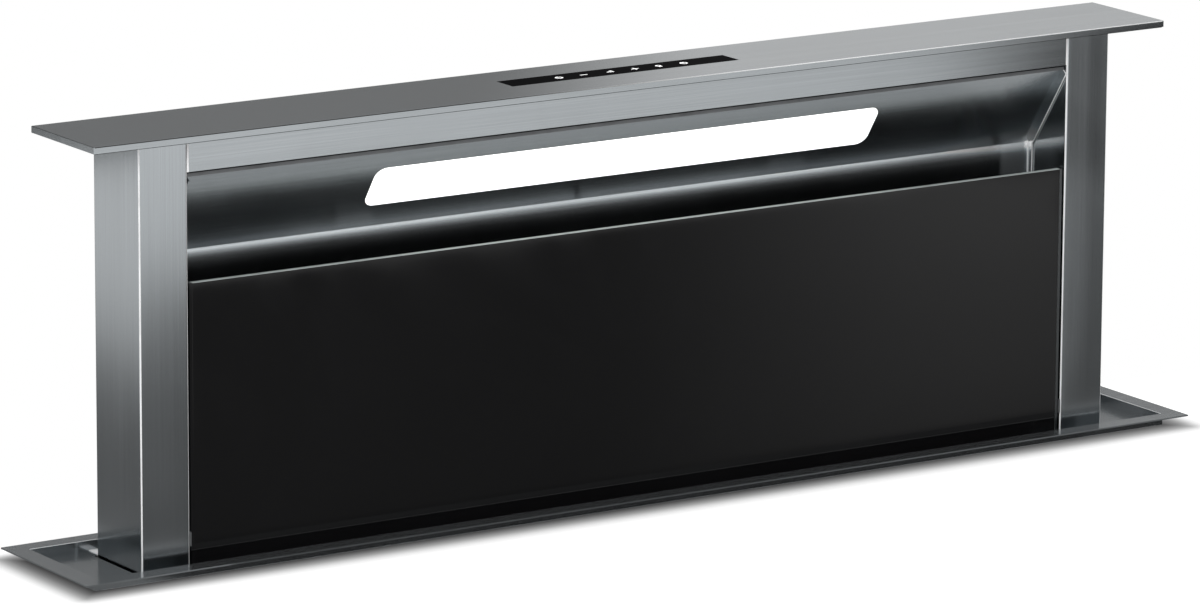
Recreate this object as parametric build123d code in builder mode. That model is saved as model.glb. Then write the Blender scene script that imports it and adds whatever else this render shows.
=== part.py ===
from build123d import *
import os
from math import acos, cos, degrees, pi, radians, sin, sqrt, tan

# Rising downdraft vent for a worktop cut-out, with its lift and blower housing below the worktop.
# X runs along the cap, Y from front to back, Z up. Z = 0 is the cabinet floor it stands on.
# The tower is modelled raised, as it is in use.

os.makedirs("parts", exist_ok=True)

# ---- installed heights ----
worktop_height = 600.0        # cabinet floor to the worktop's top face
housing_foot = 60.0           # cabinet floor to the underside of the housing
lift_travel = 298.0           # cap flush in the frame to cap raised

# ---- trim frame on the worktop ----
frame_length = 937.0
frame_width = 121.5
frame_sheet = 1.0
frame_seal_thickness = 1.5
frame_seal_width = 8.0
recess_length = 907.0         # the cap drops into this recess
recess_width = 93.0
recess_drop = 7.4
recess_edge_radius = 0.6
slot_clearance = 2.4          # around the tower where it passes the recess floor

# ---- cap ----
cap_length = 900.0
cap_width = 87.2
cap_height = 4.8
cap_edge_radius = 0.5
cap_sheet = 1.2
cap_tray_thickness = 1.5
cap_seal_inset = 8.2
cap_seal_width = 4.0
cap_seal_gap = 1.0            # to the recess floor when lowered
control_length = 191.0
control_width = 21.0
control_offset_y = 1.5
control_glass_thickness = 3.8
control_board_thickness = 1.6
control_board_border = 2.0
control_tray_border = 4.0
control_cover_border = 10.0
control_cover_radius = 3.0
control_cover_height = 14.0
control_cover_wall = 1.6

# ---- tower ----
tower_span = 818.0            # over both columns
column_width = 38.0
column_depth = 63.2
column_radius = 1.6
tower_sheet = 1.2
skirt_depth = 110.0           # tower that stays below the frame when raised
rail_height = 22.8
rail_flange = 9.0
slope_gap = 4.0               # dark slit between rail and slope
slope_setback = 3.0
slope_run = 41.1              # front to back
slope_drop = 60.5
liner_flange = 4.3
liner_hem = 13.0
hem_rise = 2.4

# ---- light ----
led_length = 426.0
led_height = 37.0
led_radius = 8.5
led_from_top = 15.5           # measured down the slope
led_diffuser_thickness = 3.0
led_tray_depth = 15.0
led_tray_rim = 7.0
led_tray_wall = 1.0
led_board_thickness = 1.6
led_board_length = 410.0
led_board_height = 22.0

# ---- front glass ----
glass_below_cap = 105.2
glass_thickness = 4.0
glass_recess = 1.2            # behind the column fronts
glass_edge_gap = 3.5          # glass edge to column
glass_foot_depth = 52.0       # glass below the frame's top face
trim_width = 2.0
trim_depth = 8.4
hook_width = 14.4
hook_above = 12.0
hook_below = 6.0
hook_thickness = 2.0
peg_radius = 2.5
peg_length = 7.0
peg_setback = 13.6
peg_low = -12.0               # lower pegs, from the frame's top face
peg_spacing = 150.0
catch_height = 10.0
catch_depth = 6.6
catch_level = 8.0
support_lip = 8.0
support_sheet = 0.9

# ---- grease filters ----
filter_thickness = 9.0
filter_height = 150.0
filter_tilt = 7.5             # degrees from upright
filter_level = 16.0           # lower edge above the frame's top face
filter_border = 12.0
filter_gap = 2.0              # between the two filters
filter_radius = 3.0
filter_recess = 3.0           # on both faces, leaves the middle sheet
slat_width = 6.4
slat_thickness = 1.2
filter_tab_width = 30.0
filter_tab_height = 6.0
filter_tab_depth = 4.0
filter_tab_radius = 2.0
filter_rail_sheet = 1.5
filter_rail_lip = 8.0
filter_rail_depth = 14.0
filter_strip_height = 16.0
filter_slats = 9

# ---- lift drive ----
tooth_module = 2.0
pinion_teeth = 16
pressure_angle = 20.0
tooth_backlash = 0.3
tooth_root = 1.25             # root depth in modules
flank_steps = 3
pinion_width = 12.0
rack_width = 10.0
rack_base = 6.0
rack_column_offset = 19.0     # rack centre, inboard of the tower's side
rack_margin = 20.0
rack_end = 2.0                # plain end past the last tooth
shaft_radius = 5.0
shaft_drop = 24.0             # shaft axis below the columns
shaft_overhang = 4.0
shaft_chamfer = 0.8
beam_height = 24.0
beam_sheet = 1.5
bearing_width = 24.0
bearing_depth = 22.0
bearing_inset = 16.0
gearbox_width = 36.0
gearbox_height = 48.0
gearbox_centre_x = 40.0
gearbox_radius = 4.0
gearbox_wall = 2.0
gearbox_back_gap = 2.5
motor_radius = 17.0
motor_length = 95.0
motor_edge = 3.0
motor_boss_radius = 6.8
motor_boss_length = 4.0
motor_setback = 24.3          # lift motor axis in front of the shaft
running_clearance = 0.05

# ---- housing below the worktop ----
housing_side_gap = 39.0       # tower side to the housing's outside, room for rails and shoes
housing_width = 92.0
housing_sheet = 1.2
panel_flange = 8.0
corner_flange = 10.0
tray_lip = 10.0
guide_depth = 12.0
guide_width = 28.0
guide_sheet = 1.5
guide_mouth = 14.0
guide_end_gap = 6.0
shoe_clearance = 0.3
shoe_height = 26.0
shoe_neck = 12.0
shoe_from_foot = 10.0         # lower shoes, above the tower's foot
shoe_spacing = 38.0
bead_height = 1.0
bead_width = 14.0
bead_length = 697.0
bead_taper = 35
bead_count = 4
clip_width = 7.0
clip_height = 6.0
clip_sheet = 0.6
clip_x = 404.0
clip_bend = 2.3               # from the recess floor's hole to the clip's bend

# ---- blower ----
blower_length = 340.0
blower_depth = 165.0
blower_height = 300.0
blower_sheet = 1.0
blower_foot = 20.0            # above the housing's underside
cover_sheet = 1.2
cover_raise = 3.0
cover_border = 26.0
cover_radius = 2.0
raised_radius = 14.0
raised_wall = 4.0
raised_taper = 30
rotor_x = -30.0
rotor_radius = 88.0
rotor_eye = 72.0
rotor_blades = 36
rotor_width = 68.0
blade_thickness = 1.0
blade_sweep = 9.0             # degrees between the inner and outer edge of a blade
rotor_disc = 2.0
rotor_rim = 4.0
rotor_rim_out = 1.5           # rim past the blades
blade_inset = 0.5             # blade tips inside the disc
blade_curve = 0.25            # share of the sweep at a blade's middle
wheel_gap = 3.0
hub_radius = 13.0
hub_length = 24.0
fan_shaft_radius = 4.0
shaft_in_motor = 30.0
shaft_past_hub = 2.0
scroll_start = 97.0           # scroll radius at the tongue
scroll_end = 148.0            # scroll radius where it runs straight out
tongue_angle = -20.0
scroll_depth = 88.0
scroll_sheet = 1.0
scroll_steps = 12
scroll_bottom = 270           # angle where the scroll runs straight out
duct_setback = 20.0           # duct's start inside the scroll's end radius
motor_hole_gap = 5.0
bell_bulge = 1.2
bell_middle = 7.7
bell_middle_out = 7.0
bell_depth = 14.0
bell_lip = 6.0
eye_clearance = 2.0
aperture_gap = 6.0            # bell mouth to the hole in the panels
blower_motor_radius = 42.0
blower_motor_length = 46.0
motor_flange_radius = 50.0
motor_flange_thickness = 3.0
blower_motor_edge = 8.0
shaft_end_gap = 1.0
fin_count = 12
fin_width = 5.0
fin_depth = 4.0
fin_start = 8.0
fin_length = 26.0

# ---- outlet ----
collar_radius = 75.0          # outside, for 150 mm duct
collar_wall = 2.0
collar_length = 46.0
collar_flange = 6.0
groove_depth = 1.0            # for a band or seal ring
groove_from_end = 3.0
groove_span = 5.0
flap_root = 1.0               # flap sheet to the knuckle's outside
knuckle_gap = 1.0
knuckle_count = 4
damper_pin_radius = 2.0
damper_from_wall = 14.0
flap_thickness = 1.2
flap_clearance = 1.5
knuckle_wall = 1.2
knuckle_length = 16.0

# ---- electronics ----
electronics_length = 220.0
electronics_depth = 56.0
electronics_height = 130.0
electronics_wall = 2.0
electronics_lid_thickness = 3.0
electronics_inset = 28.0      # from the housing's left end
electronics_top_gap = 60.0
gland_radius = 4.0
gland_nut = 11.0              # corner radius of the hexagon
gland_nut_length = 6.0
gland_cap_radius = 8.6
gland_stem = 6.5
gland_length = 18.0
electronics_radius = 6.0
lid_edge = 1.2

# ---- feet ----
bracket_thickness = 2.5
bracket_height = 190.0
bracket_reach = 160.0
bracket_toe = 40.0
bracket_shoulder = 70.0       # cut low in front, so that a duct passes over it
bracket_nose = 20.0
floor_hole_radius = 4.5
floor_hole_front = 140.0
floor_hole_back = 30.0
bracket_slot_length = 30.0
bracket_slot_width = 6.6

seat = 0.3                    # gap where one piece only rests near another

# ---- places that follow from the sizes ----
deck = worktop_height + frame_seal_thickness + frame_sheet
housing_length = tower_span + 2 * housing_side_gap
cap_top = deck + lift_travel
cap_under = cap_top - cap_height
tower_foot = deck - skirt_depth
recess_floor = deck - recess_drop
housing_top = recess_floor - frame_sheet

front_reach = housing_width / 2 + blower_depth + cover_sheet + cover_raise
tower_y = (front_reach - frame_width / 2) / 2      # centres the whole vent on Y = 0
tower_front = tower_y - column_depth / 2
tower_back = tower_y + column_depth / 2
column_inner = tower_span / 2 - column_width
panel_half = column_inner - seat                   # sheets between the columns

rail_bottom = cap_under - rail_height
slope_top = rail_bottom - slope_gap
slope_front = tower_front + slope_setback
crease_y = slope_front + slope_run
crease_z = slope_top - slope_drop

glass_top = cap_top - glass_below_cap
glass_bottom = deck - glass_foot_depth
glass_front = tower_front + glass_recess
glass_half = column_inner - glass_edge_gap
trim_outer = glass_half + trim_width

pitch_radius = tooth_module * pinion_teeth / 2
housing_front = tower_y - housing_width / 2
housing_back = tower_y + housing_width / 2
rack_back = housing_back - housing_sheet
rack_pitch_y = rack_back - rack_base - tooth_root * tooth_module
shaft_y = rack_pitch_y - pitch_radius
shaft_z = tower_foot - shaft_drop
rack_x = tower_span / 2 - rack_column_offset
shaft_half = rack_x + pinion_width / 2 + shaft_overhang

blower_back = housing_front
blower_front = blower_back - blower_depth
blower_bottom = housing_foot + blower_foot
blower_top = blower_bottom + blower_height
rotor_z = blower_bottom + blower_sheet + seat + scroll_sheet + scroll_end
scroll_back = blower_back - blower_sheet - bell_depth
scroll_front = scroll_back - scroll_depth
eye_radius = rotor_eye - eye_clearance
collar_y = blower_back - blower_depth / 2
collar_z = blower_bottom + blower_sheet + collar_radius + collar_flange
damper_x = blower_length / 2 + damper_from_wall


def level(z):
    return Plane.XY.offset(z)


def across(x):
    return Plane.YZ.offset(x)          # sketch axes are Y and Z, extrudes towards +X


def facing(y):
    return Plane.XZ.offset(-y)         # sketch axes are X and Z, extrudes towards -Y


# =================================================================== trim frame
with BuildPart() as trim_frame:
    with BuildSketch(level(deck - frame_sheet)):
        with Locations((0, tower_y)):
            Rectangle(frame_length, frame_width)
            Rectangle(recess_length, recess_width, mode=Mode.SUBTRACT)
    extrude(amount=frame_sheet)
    with BuildSketch(level(housing_top)):
        with Locations((0, tower_y)):
            Rectangle(recess_length + 2 * frame_sheet, recess_width + 2 * frame_sheet)
            Rectangle(recess_length, recess_width, mode=Mode.SUBTRACT)
    extrude(amount=deck - housing_top)
    with BuildSketch(level(housing_top)):
        with Locations((0, tower_y)):
            Rectangle(recess_length + frame_sheet, recess_width + frame_sheet)
            Rectangle(tower_span + 2 * slot_clearance, column_depth + 2 * slot_clearance,
                      mode=Mode.SUBTRACT)
    extrude(amount=frame_sheet)
    inner_rim = trim_frame.edges().group_by(Axis.Z)[-1].filter_by(
        lambda edge: abs(edge.center().X) < recess_length / 2 + seat
        and abs(edge.center().Y - tower_y) < recess_width / 2 + seat
    )
    fillet(inner_rim, radius=recess_edge_radius)

# foam strip under the flange, round the worktop cut-out
with BuildPart() as frame_seal:
    with BuildSketch(level(worktop_height)):
        with Locations((0, tower_y)):
            seal_inner_x = recess_length + 2 * frame_sheet + 2 * seat
            seal_inner_y = recess_width + 2 * frame_sheet + 2 * seat
            Rectangle(seal_inner_x + 2 * frame_seal_width, seal_inner_y + 2 * frame_seal_width)
            Rectangle(seal_inner_x, seal_inner_y, mode=Mode.SUBTRACT)
    extrude(amount=frame_seal_thickness)

# spring clips on the recess floor that steady the columns from behind
with BuildPart() as guide_clips:
    for side in (-1, 1):
        with BuildSketch(across(side * clip_x - clip_width / 2)):
            with BuildLine():
                Polyline(
                    (tower_y + recess_width / 2 - seat, recess_floor),
                    (tower_back + clip_bend, recess_floor),
                    (tower_back + seat + clip_sheet, recess_floor - clip_height),
                )
                offset(amount=clip_sheet, side=Side.RIGHT, closed=True)
            make_face()
        extrude(amount=clip_width)

# =================================================================== cap
with BuildPart() as top_cap:
    with BuildSketch(level(cap_under)):
        with Locations((0, tower_y)):
            Rectangle(cap_length, cap_width)
    extrude(amount=cap_height)
    fillet(top_cap.faces().sort_by(Axis.Z)[-1].edges(), radius=cap_edge_radius)
    with BuildSketch(level(cap_under)):
        with Locations((0, tower_y)):
            Rectangle(cap_length - 2 * cap_sheet, cap_width - 2 * cap_sheet)
    extrude(amount=cap_height - cap_sheet, mode=Mode.SUBTRACT)
    with BuildSketch(level(cap_under)):
        with Locations((0, tower_y + control_offset_y)):
            Rectangle(control_length + 2 * seat, control_width + 2 * seat)
    extrude(amount=cap_height, mode=Mode.SUBTRACT)

with BuildPart() as cap_tray:
    with BuildSketch(level(cap_under)):
        with Locations((0, tower_y)):
            Rectangle(cap_length - 2 * cap_sheet - 2 * seat, cap_width - 2 * cap_sheet - 2 * seat)
        with Locations((0, tower_y + control_offset_y)):
            Rectangle(control_length + 2 * control_tray_border, control_width + 2 * control_tray_border,
                      mode=Mode.SUBTRACT)
    extrude(amount=cap_tray_thickness)

with BuildPart() as cap_seal:
    with BuildSketch(level(cap_under)):
        with Locations((0, tower_y)):
            Rectangle(cap_length - 2 * cap_seal_inset, cap_width - 2 * cap_seal_inset + 2 * seat)
            Rectangle(cap_length - 2 * (cap_seal_inset + cap_seal_width),
                      cap_width + 2 * seat - 2 * (cap_seal_inset + cap_seal_width), mode=Mode.SUBTRACT)
    extrude(amount=-(recess_drop - cap_height - cap_seal_gap))

with BuildPart() as control_glass:
    with BuildSketch(level(cap_top - control_glass_thickness)):
        with Locations((0, tower_y + control_offset_y)):
            Rectangle(control_length, control_width)
    extrude(amount=control_glass_thickness)

with BuildPart() as control_board:
    with BuildSketch(level(cap_top - control_glass_thickness - control_board_thickness)):
        with Locations((0, tower_y + control_offset_y)):
            Rectangle(control_length + 2 * control_board_border, control_width + 2 * control_board_border)
    extrude(amount=control_board_thickness)

with BuildPart() as control_cover:
    with BuildSketch(level(cap_under - control_cover_height)):
        with Locations((0, tower_y + control_offset_y)):
            RectangleRounded(control_length + 2 * control_cover_border,
                             control_width + 2 * control_cover_border, control_cover_radius)
    extrude(amount=control_cover_height)
    cover_mouth = control_cover.faces().sort_by(Axis.Z)[-1]
    offset(amount=-control_cover_wall, openings=cover_mouth)


# =================================================================== tower
def make_column(side):
    centre = side * (tower_span - column_width) / 2
    with BuildPart() as column:
        with BuildSketch(level(tower_foot)):
            with Locations((centre, tower_y)):
                RectangleRounded(column_width, column_depth, column_radius)
                Rectangle(column_width - 2 * tower_sheet, column_depth - 2 * tower_sheet,
                          mode=Mode.SUBTRACT)
        extrude(amount=cap_under - tower_foot)
    return column


left_column = make_column(-1)
right_column = make_column(1)

with BuildPart() as front_rail:
    with BuildSketch(across(-panel_half)):
        with BuildLine():
            Polyline(
                (tower_front + rail_flange, cap_under),
                (tower_front, cap_under),
                (tower_front, rail_bottom),
                (tower_front + rail_flange, rail_bottom),
            )
            offset(amount=tower_sheet, side=Side.LEFT, closed=True, kind=Kind.INTERSECTION)
        make_face()
    extrude(amount=2 * panel_half)

# slope and back wall of the air channel, one folded sheet with narrow side flanges
liner_line = (
    (slope_front + liner_hem, slope_top + hem_rise),
    (slope_front, slope_top + hem_rise),
    (slope_front, slope_top),
    (crease_y, crease_z),
    (crease_y, tower_foot),
)
slope_plane = Plane(origin=(0, slope_front, slope_top), x_dir=(1, 0, 0), z_dir=(0, -slope_drop, -slope_run))
led_centre = (0, -(led_from_top + led_height / 2))
with BuildPart() as back_liner:
    with BuildSketch(across(-panel_half)):
        with BuildLine():
            Polyline(*liner_line)
            offset(amount=tower_sheet, side=Side.LEFT, closed=True, kind=Kind.INTERSECTION)
        make_face()
    extrude(amount=2 * panel_half)
    for start in (-panel_half, panel_half - tower_sheet):
        with BuildSketch(across(start)):
            with BuildLine():
                Polyline(*liner_line[2:])
                offset(amount=liner_flange, side=Side.RIGHT, closed=True, kind=Kind.INTERSECTION)
            make_face()
        extrude(amount=tower_sheet)
    with BuildSketch(slope_plane):
        with Locations(led_centre):
            RectangleRounded(led_length, led_height, led_radius)
    extrude(amount=2 * tower_sheet, both=True, mode=Mode.SUBTRACT)

with BuildPart() as led_diffuser:
    with BuildSketch(slope_plane):
        with Locations(led_centre):
            RectangleRounded(led_length - 2 * seat, led_height - 2 * seat, led_radius - seat)
    extrude(amount=-led_diffuser_thickness)

with BuildPart() as led_tray:
    with BuildSketch(slope_plane.offset(-tower_sheet)):
        with Locations(led_centre):
            Rectangle(led_length + 2 * led_tray_rim, led_height + 2 * led_tray_rim)
    extrude(amount=-(led_tray_depth - tower_sheet))
    with BuildSketch(slope_plane.offset(-tower_sheet)):
        with Locations(led_centre):
            Rectangle(led_length + 2 * led_tray_rim - 2 * led_tray_wall,
                      led_height + 2 * led_tray_rim - 2 * led_tray_wall)
    extrude(amount=-(led_tray_depth - tower_sheet - led_tray_wall), mode=Mode.SUBTRACT)

with BuildPart() as led_board:
    with BuildSketch(slope_plane.offset(-(led_tray_depth - led_tray_wall))):
        with Locations(led_centre):
            Rectangle(led_board_length, led_board_height)
    extrude(amount=led_board_thickness)

with BuildPart() as rear_cover:
    with BuildSketch(facing(tower_back)):
        with Locations((0, (tower_foot + cap_under) / 2)):
            Rectangle(2 * panel_half, cap_under - tower_foot)
    extrude(amount=tower_sheet)

# =================================================================== front glass
with BuildPart() as front_glass:
    with BuildSketch(facing(glass_front)):
        with Locations((0, (glass_bottom + glass_top) / 2)):
            Rectangle(2 * glass_half, glass_top - glass_bottom)
    extrude(amount=-glass_thickness)

with BuildPart() as glass_trims:
    with BuildSketch(level(glass_bottom)):
        for side in (-1, 1):
            with Locations((side * (glass_half + trim_width / 2), glass_front + trim_depth / 2)):
                Rectangle(trim_width, trim_depth)
    extrude(amount=glass_top - glass_bottom)

peg_y = tower_front + peg_setback
with BuildPart() as glass_hooks:
    for side in (-1, 1):
        inner_face = side * glass_half - hook_thickness * (side > 0)
        for height in (peg_low, peg_low + peg_spacing):
            peg_z = deck + height
            with BuildSketch(across(inner_face)):
                with Locations((glass_front + glass_thickness + hook_width / 2,
                                peg_z + (hook_above - hook_below) / 2)):
                    Rectangle(hook_width, hook_above + hook_below)
                with Locations((peg_y, peg_z - hook_below / 2)):
                    Rectangle(2 * (peg_radius + seat), hook_below, mode=Mode.SUBTRACT)
                with Locations((peg_y, peg_z)):
                    Circle(peg_radius + seat, mode=Mode.SUBTRACT)
            extrude(amount=hook_thickness)

# pegs that carry the glass and spring catches that stop it rattling
with BuildPart() as glass_fittings:
    for side in (-1, 1):
        start = column_inner - peg_length if side > 0 else -column_inner
        for height in (peg_low, peg_low + peg_spacing):
            with BuildSketch(across(start)):
                with Locations((peg_y, deck + height)):
                    Circle(peg_radius)
            extrude(amount=peg_length)
        catch_width = column_inner - trim_outer - seat
        with BuildSketch(level(deck + catch_level)):
            with Locations((side * (column_inner - catch_width / 2), tower_front + catch_depth / 2)):
                Rectangle(catch_width, catch_depth)
        extrude(amount=catch_height)

with BuildPart() as glass_support:
    with BuildSketch(across(-panel_half)):
        with BuildLine():
            Polyline(
                (tower_front, glass_bottom + support_lip),
                (tower_front, glass_bottom - seat - support_sheet),
                (glass_front + trim_depth + seat + support_sheet, glass_bottom - seat - support_sheet),
                (glass_front + trim_depth + seat + support_sheet, glass_bottom + support_lip),
            )
            offset(amount=support_sheet, side=Side.LEFT, closed=True, kind=Kind.INTERSECTION)
        make_face()
    extrude(amount=2 * panel_half)

# =================================================================== grease filters
filter_reach = panel_half - tower_sheet - seat    # clear of the liner's side flanges
filter_length = filter_reach - filter_gap / 2
channel_front = glass_front + trim_depth + filter_rail_sheet + seat
filter_foot_y = channel_front + seat + filter_thickness / 2
filter_foot_z = deck + filter_level
filter_plane = Plane(
    origin=(0, filter_foot_y, filter_foot_z),
    x_dir=(1, 0, 0),
    z_dir=(0, -cos(radians(filter_tilt)), sin(radians(filter_tilt))),
)


def make_filter(side):
    centre = side * (filter_gap + filter_length) / 2
    length = filter_length - 2 * seat
    with BuildPart() as cassette:
        with BuildSketch(filter_plane):
            with Locations((centre, filter_height / 2)):
                RectangleRounded(length, filter_height, filter_radius)
        extrude(amount=filter_thickness / 2, both=True)
        for face, inward in ((filter_thickness / 2, -1), (-filter_thickness / 2, 1)):
            with BuildSketch(filter_plane.offset(face)):
                with Locations((centre, filter_height / 2)):
                    Rectangle(length - 2 * filter_border, filter_height - 2 * filter_border)
            extrude(amount=inward * filter_recess, mode=Mode.SUBTRACT)
        with BuildSketch(filter_plane.offset(filter_thickness / 2 - filter_recess)):
            with Locations((centre, filter_height / 2)):
                with GridLocations(0, (filter_height - 2 * filter_border) / filter_slats, 1, filter_slats):
                    Rectangle(length - 2 * filter_border, slat_width)
        extrude(amount=slat_thickness)
        with BuildSketch(filter_plane.offset(filter_thickness / 2)):
            with Locations((centre, filter_height - filter_border / 2)):
                RectangleRounded(filter_tab_width, filter_tab_height, filter_tab_radius)
        extrude(amount=filter_tab_depth)
    return cassette


grease_filter_left = make_filter(-1)
grease_filter_right = make_filter(1)

# angle rail at the filters' foot and the magnet strip behind their heads
lean = radians(filter_tilt)
foot_rest_z = filter_foot_z - filter_thickness / 2 * sin(lean) - seat
head_y = filter_foot_y + filter_height * sin(lean) + filter_thickness / 2 * cos(lean)
head_z = filter_foot_z + filter_height * cos(lean)
with BuildPart() as filter_rails:
    with BuildSketch(across(-filter_reach)):
        with BuildLine():
            Polyline(
                (channel_front, foot_rest_z + filter_rail_lip),
                (channel_front, foot_rest_z),
                (channel_front + filter_rail_depth, foot_rest_z),
            )
            offset(amount=filter_rail_sheet, side=Side.RIGHT, closed=True, kind=Kind.INTERSECTION)
        make_face()
        with Locations(((head_y + seat + crease_y) / 2, head_z - filter_strip_height / 2)):
            Rectangle(crease_y - head_y - seat, filter_strip_height)
    extrude(amount=2 * filter_reach)

# =================================================================== lift drive on the tower
beam_front = crease_y + tower_sheet
beam_back = tower_back - tower_sheet
with BuildPart() as lower_crossbeam:
    with BuildSketch(across(-panel_half)):
        with BuildLine():
            Polyline(
                (beam_front, tower_foot + beam_height),
                (beam_front, tower_foot),
                (beam_back, tower_foot),
                (beam_back, tower_foot + beam_height),
            )
            offset(amount=beam_sheet, side=Side.LEFT, closed=True, kind=Kind.INTERSECTION)
        make_face()
    extrude(amount=2 * panel_half)

with BuildPart() as bearing_blocks:
    for side in (-1, 1):
        with BuildSketch(across(side * (panel_half - bearing_inset) - bearing_width / 2)):
            with BuildLine():
                top_left = (shaft_y - bearing_depth / 2, tower_foot)
                low_left = (shaft_y - bearing_depth / 2, shaft_z)
                low_right = (shaft_y + bearing_depth / 2, shaft_z)
                Polyline(low_left, top_left, (shaft_y + bearing_depth / 2, tower_foot), low_right)
                ThreePointArc(low_right, (shaft_y, shaft_z - bearing_depth / 2), low_left)
            make_face()
            with Locations((shaft_y, shaft_z)):
                Circle(shaft_radius + running_clearance, mode=Mode.SUBTRACT)
        extrude(amount=bearing_width)

gearbox_front = shaft_y - motor_setback - motor_radius - gearbox_wall
gearbox_back = rack_back - gearbox_back_gap
with BuildPart() as lift_gearbox:
    with BuildSketch(across(gearbox_centre_x - gearbox_width / 2)):
        with Locations(((gearbox_front + gearbox_back) / 2, tower_foot - gearbox_height / 2)):
            RectangleRounded(gearbox_back - gearbox_front, gearbox_height, gearbox_radius)
        with Locations((shaft_y, shaft_z)):
            Circle(shaft_radius + running_clearance, mode=Mode.SUBTRACT)
    extrude(amount=gearbox_width)

motor_y = shaft_y - motor_setback
with BuildPart() as lift_motor:
    with BuildSketch(across(gearbox_centre_x + gearbox_width / 2)):
        with Locations((motor_y, shaft_z)):
            Circle(motor_radius)
    extrude(amount=motor_length)
    fillet(lift_motor.faces().sort_by(Axis.X)[-1].edges(), radius=motor_edge)
    with BuildSketch(across(gearbox_centre_x + gearbox_width / 2 + motor_length)):
        with Locations((motor_y, shaft_z)):
            Circle(motor_boss_radius)
    extrude(amount=motor_boss_length)

# nylon shoes on the column sides, running in the housing's guide rails
guide_face = housing_length / 2 - housing_sheet
guide_inner = guide_face - guide_depth
shoe_head_in = guide_inner + guide_sheet + shoe_clearance
shoe_head_out = guide_face - guide_sheet - shoe_clearance
with BuildPart() as slide_shoes:
    for side in (-1, 1):
        for rise in (shoe_from_foot, shoe_from_foot + shoe_spacing):
            with BuildSketch(level(tower_foot + rise)):
                neck_centre = side * (tower_span / 2 + shoe_head_in) / 2
                with Locations((neck_centre, tower_y)):
                    Rectangle(shoe_head_in - tower_span / 2, shoe_neck)
                with Locations((side * (shoe_head_in + shoe_head_out) / 2, tower_y)):
                    Rectangle(shoe_head_out - shoe_head_in, guide_width - 2 * guide_sheet - 2 * shoe_clearance)
            extrude(amount=shoe_height)

# =================================================================== cross shaft and pinions
with BuildPart() as cross_shaft:
    with BuildSketch(across(-shaft_half)):
        with Locations((shaft_y, shaft_z)):
            Circle(shaft_radius)
    extrude(amount=2 * shaft_half)
    chamfer(cross_shaft.edges().filter_by(GeomType.CIRCLE), length=shaft_chamfer)


def involute(angle):
    return tan(angle) - angle


def tooth_half_angle(radius):
    base = pitch_radius * cos(radians(pressure_angle))
    at_pitch = (pi * tooth_module / 2 - tooth_backlash) / 2 / pitch_radius
    roll = acos(min(1.0, base / radius))
    return at_pitch + involute(radians(pressure_angle)) - involute(roll)


tip_radius = pitch_radius + tooth_module
root_radius = pitch_radius - tooth_root * tooth_module
flank_radii = [root_radius + (tip_radius - root_radius) * i / flank_steps for i in range(flank_steps + 1)]


def pinion_outline():
    points = []
    for tooth in range(pinion_teeth):
        middle = 2 * pi * tooth / pinion_teeth
        flank = [(r, tooth_half_angle(r)) for r in flank_radii]
        rising = [(r, middle - half) for r, half in flank]
        falling = [(r, middle + half) for r, half in reversed(flank)]
        points += [(r * cos(a), r * sin(a)) for r, a in rising + falling]
    return points


def make_pinion(side):
    with BuildPart() as pinion:
        with BuildSketch(across(side * rack_x - pinion_width / 2)):
            with BuildLine():
                Polyline(*[(shaft_y + y, shaft_z + z) for y, z in pinion_outline()], close=True)
            make_face()
            with Locations((shaft_y, shaft_z)):
                Circle(shaft_radius, mode=Mode.SUBTRACT)
        extrude(amount=pinion_width)
    return pinion


pinion_left = make_pinion(-1)
pinion_right = make_pinion(1)

# =================================================================== racks on the housing
tooth_pitch = pi * tooth_module
rack_teeth = int((lift_travel + 2 * rack_margin) / tooth_pitch)
first_gap = shaft_z + int(rack_margin / tooth_pitch) * tooth_pitch


def rack_outline():
    half = (tooth_pitch / 2 - tooth_backlash / 2) / 2
    slope = tan(radians(pressure_angle))
    tip_half = half - tooth_module * slope
    root_half = half + tooth_root * tooth_module * slope
    root_y = rack_pitch_y + tooth_root * tooth_module
    tip_y = rack_pitch_y - tooth_module
    points = []
    for tooth in range(rack_teeth):
        middle = first_gap - (tooth + 0.5) * tooth_pitch
        points += [(root_y, middle + root_half), (tip_y, middle + tip_half),
                   (tip_y, middle - tip_half), (root_y, middle - root_half)]
    return points


def make_rack(side):
    teeth = rack_outline()
    with BuildPart() as rack:
        with BuildSketch(across(side * rack_x - rack_width / 2)):
            with BuildLine():
                top = teeth[0][1] + rack_end
                low = teeth[-1][1] - rack_end
                Polyline((rack_back, top), (teeth[0][0], top), *teeth, (teeth[-1][0], low), (rack_back, low),
                         close=True)
            make_face()
        extrude(amount=rack_width)
    return rack


rack_left = make_rack(-1)
rack_right = make_rack(1)

# =================================================================== housing
panel_length = housing_length - 2 * housing_sheet
panel_height = housing_top - housing_foot
blower_mid_z = (blower_bottom + blower_top) / 2
aperture_radius = eye_radius + aperture_gap


def panel_profile(outer_face, inward):
    # flat sheet with a flange turned in under the recess floor
    with BuildSketch(across(-panel_length / 2)) as profile:
        with BuildLine():
            Polyline(
                (outer_face + inward * panel_flange, housing_top),
                (outer_face, housing_top),
                (outer_face, housing_foot),
            )
            offset(amount=housing_sheet, side=Side.LEFT if inward > 0 else Side.RIGHT,
                   closed=True, kind=Kind.INTERSECTION)
        make_face()
    return profile.sketch


with BuildPart() as rear_panel:
    extrude(panel_profile(housing_back, -1), amount=panel_length)
    bead_step = panel_height / (bead_count + 1)
    for index in range(bead_count):
        with BuildSketch(facing(housing_back)):
            with Locations((0, housing_foot + bead_step * (index + 1))):
                SlotOverall(bead_length, bead_width)
        extrude(amount=-bead_height, taper=bead_taper)

with BuildPart() as front_panel:
    extrude(panel_profile(housing_front, 1), amount=panel_length)
    with BuildSketch(facing(housing_front)):
        with Locations((rotor_x, rotor_z)):
            Circle(aperture_radius)
    extrude(amount=-housing_sheet, mode=Mode.SUBTRACT)


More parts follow.
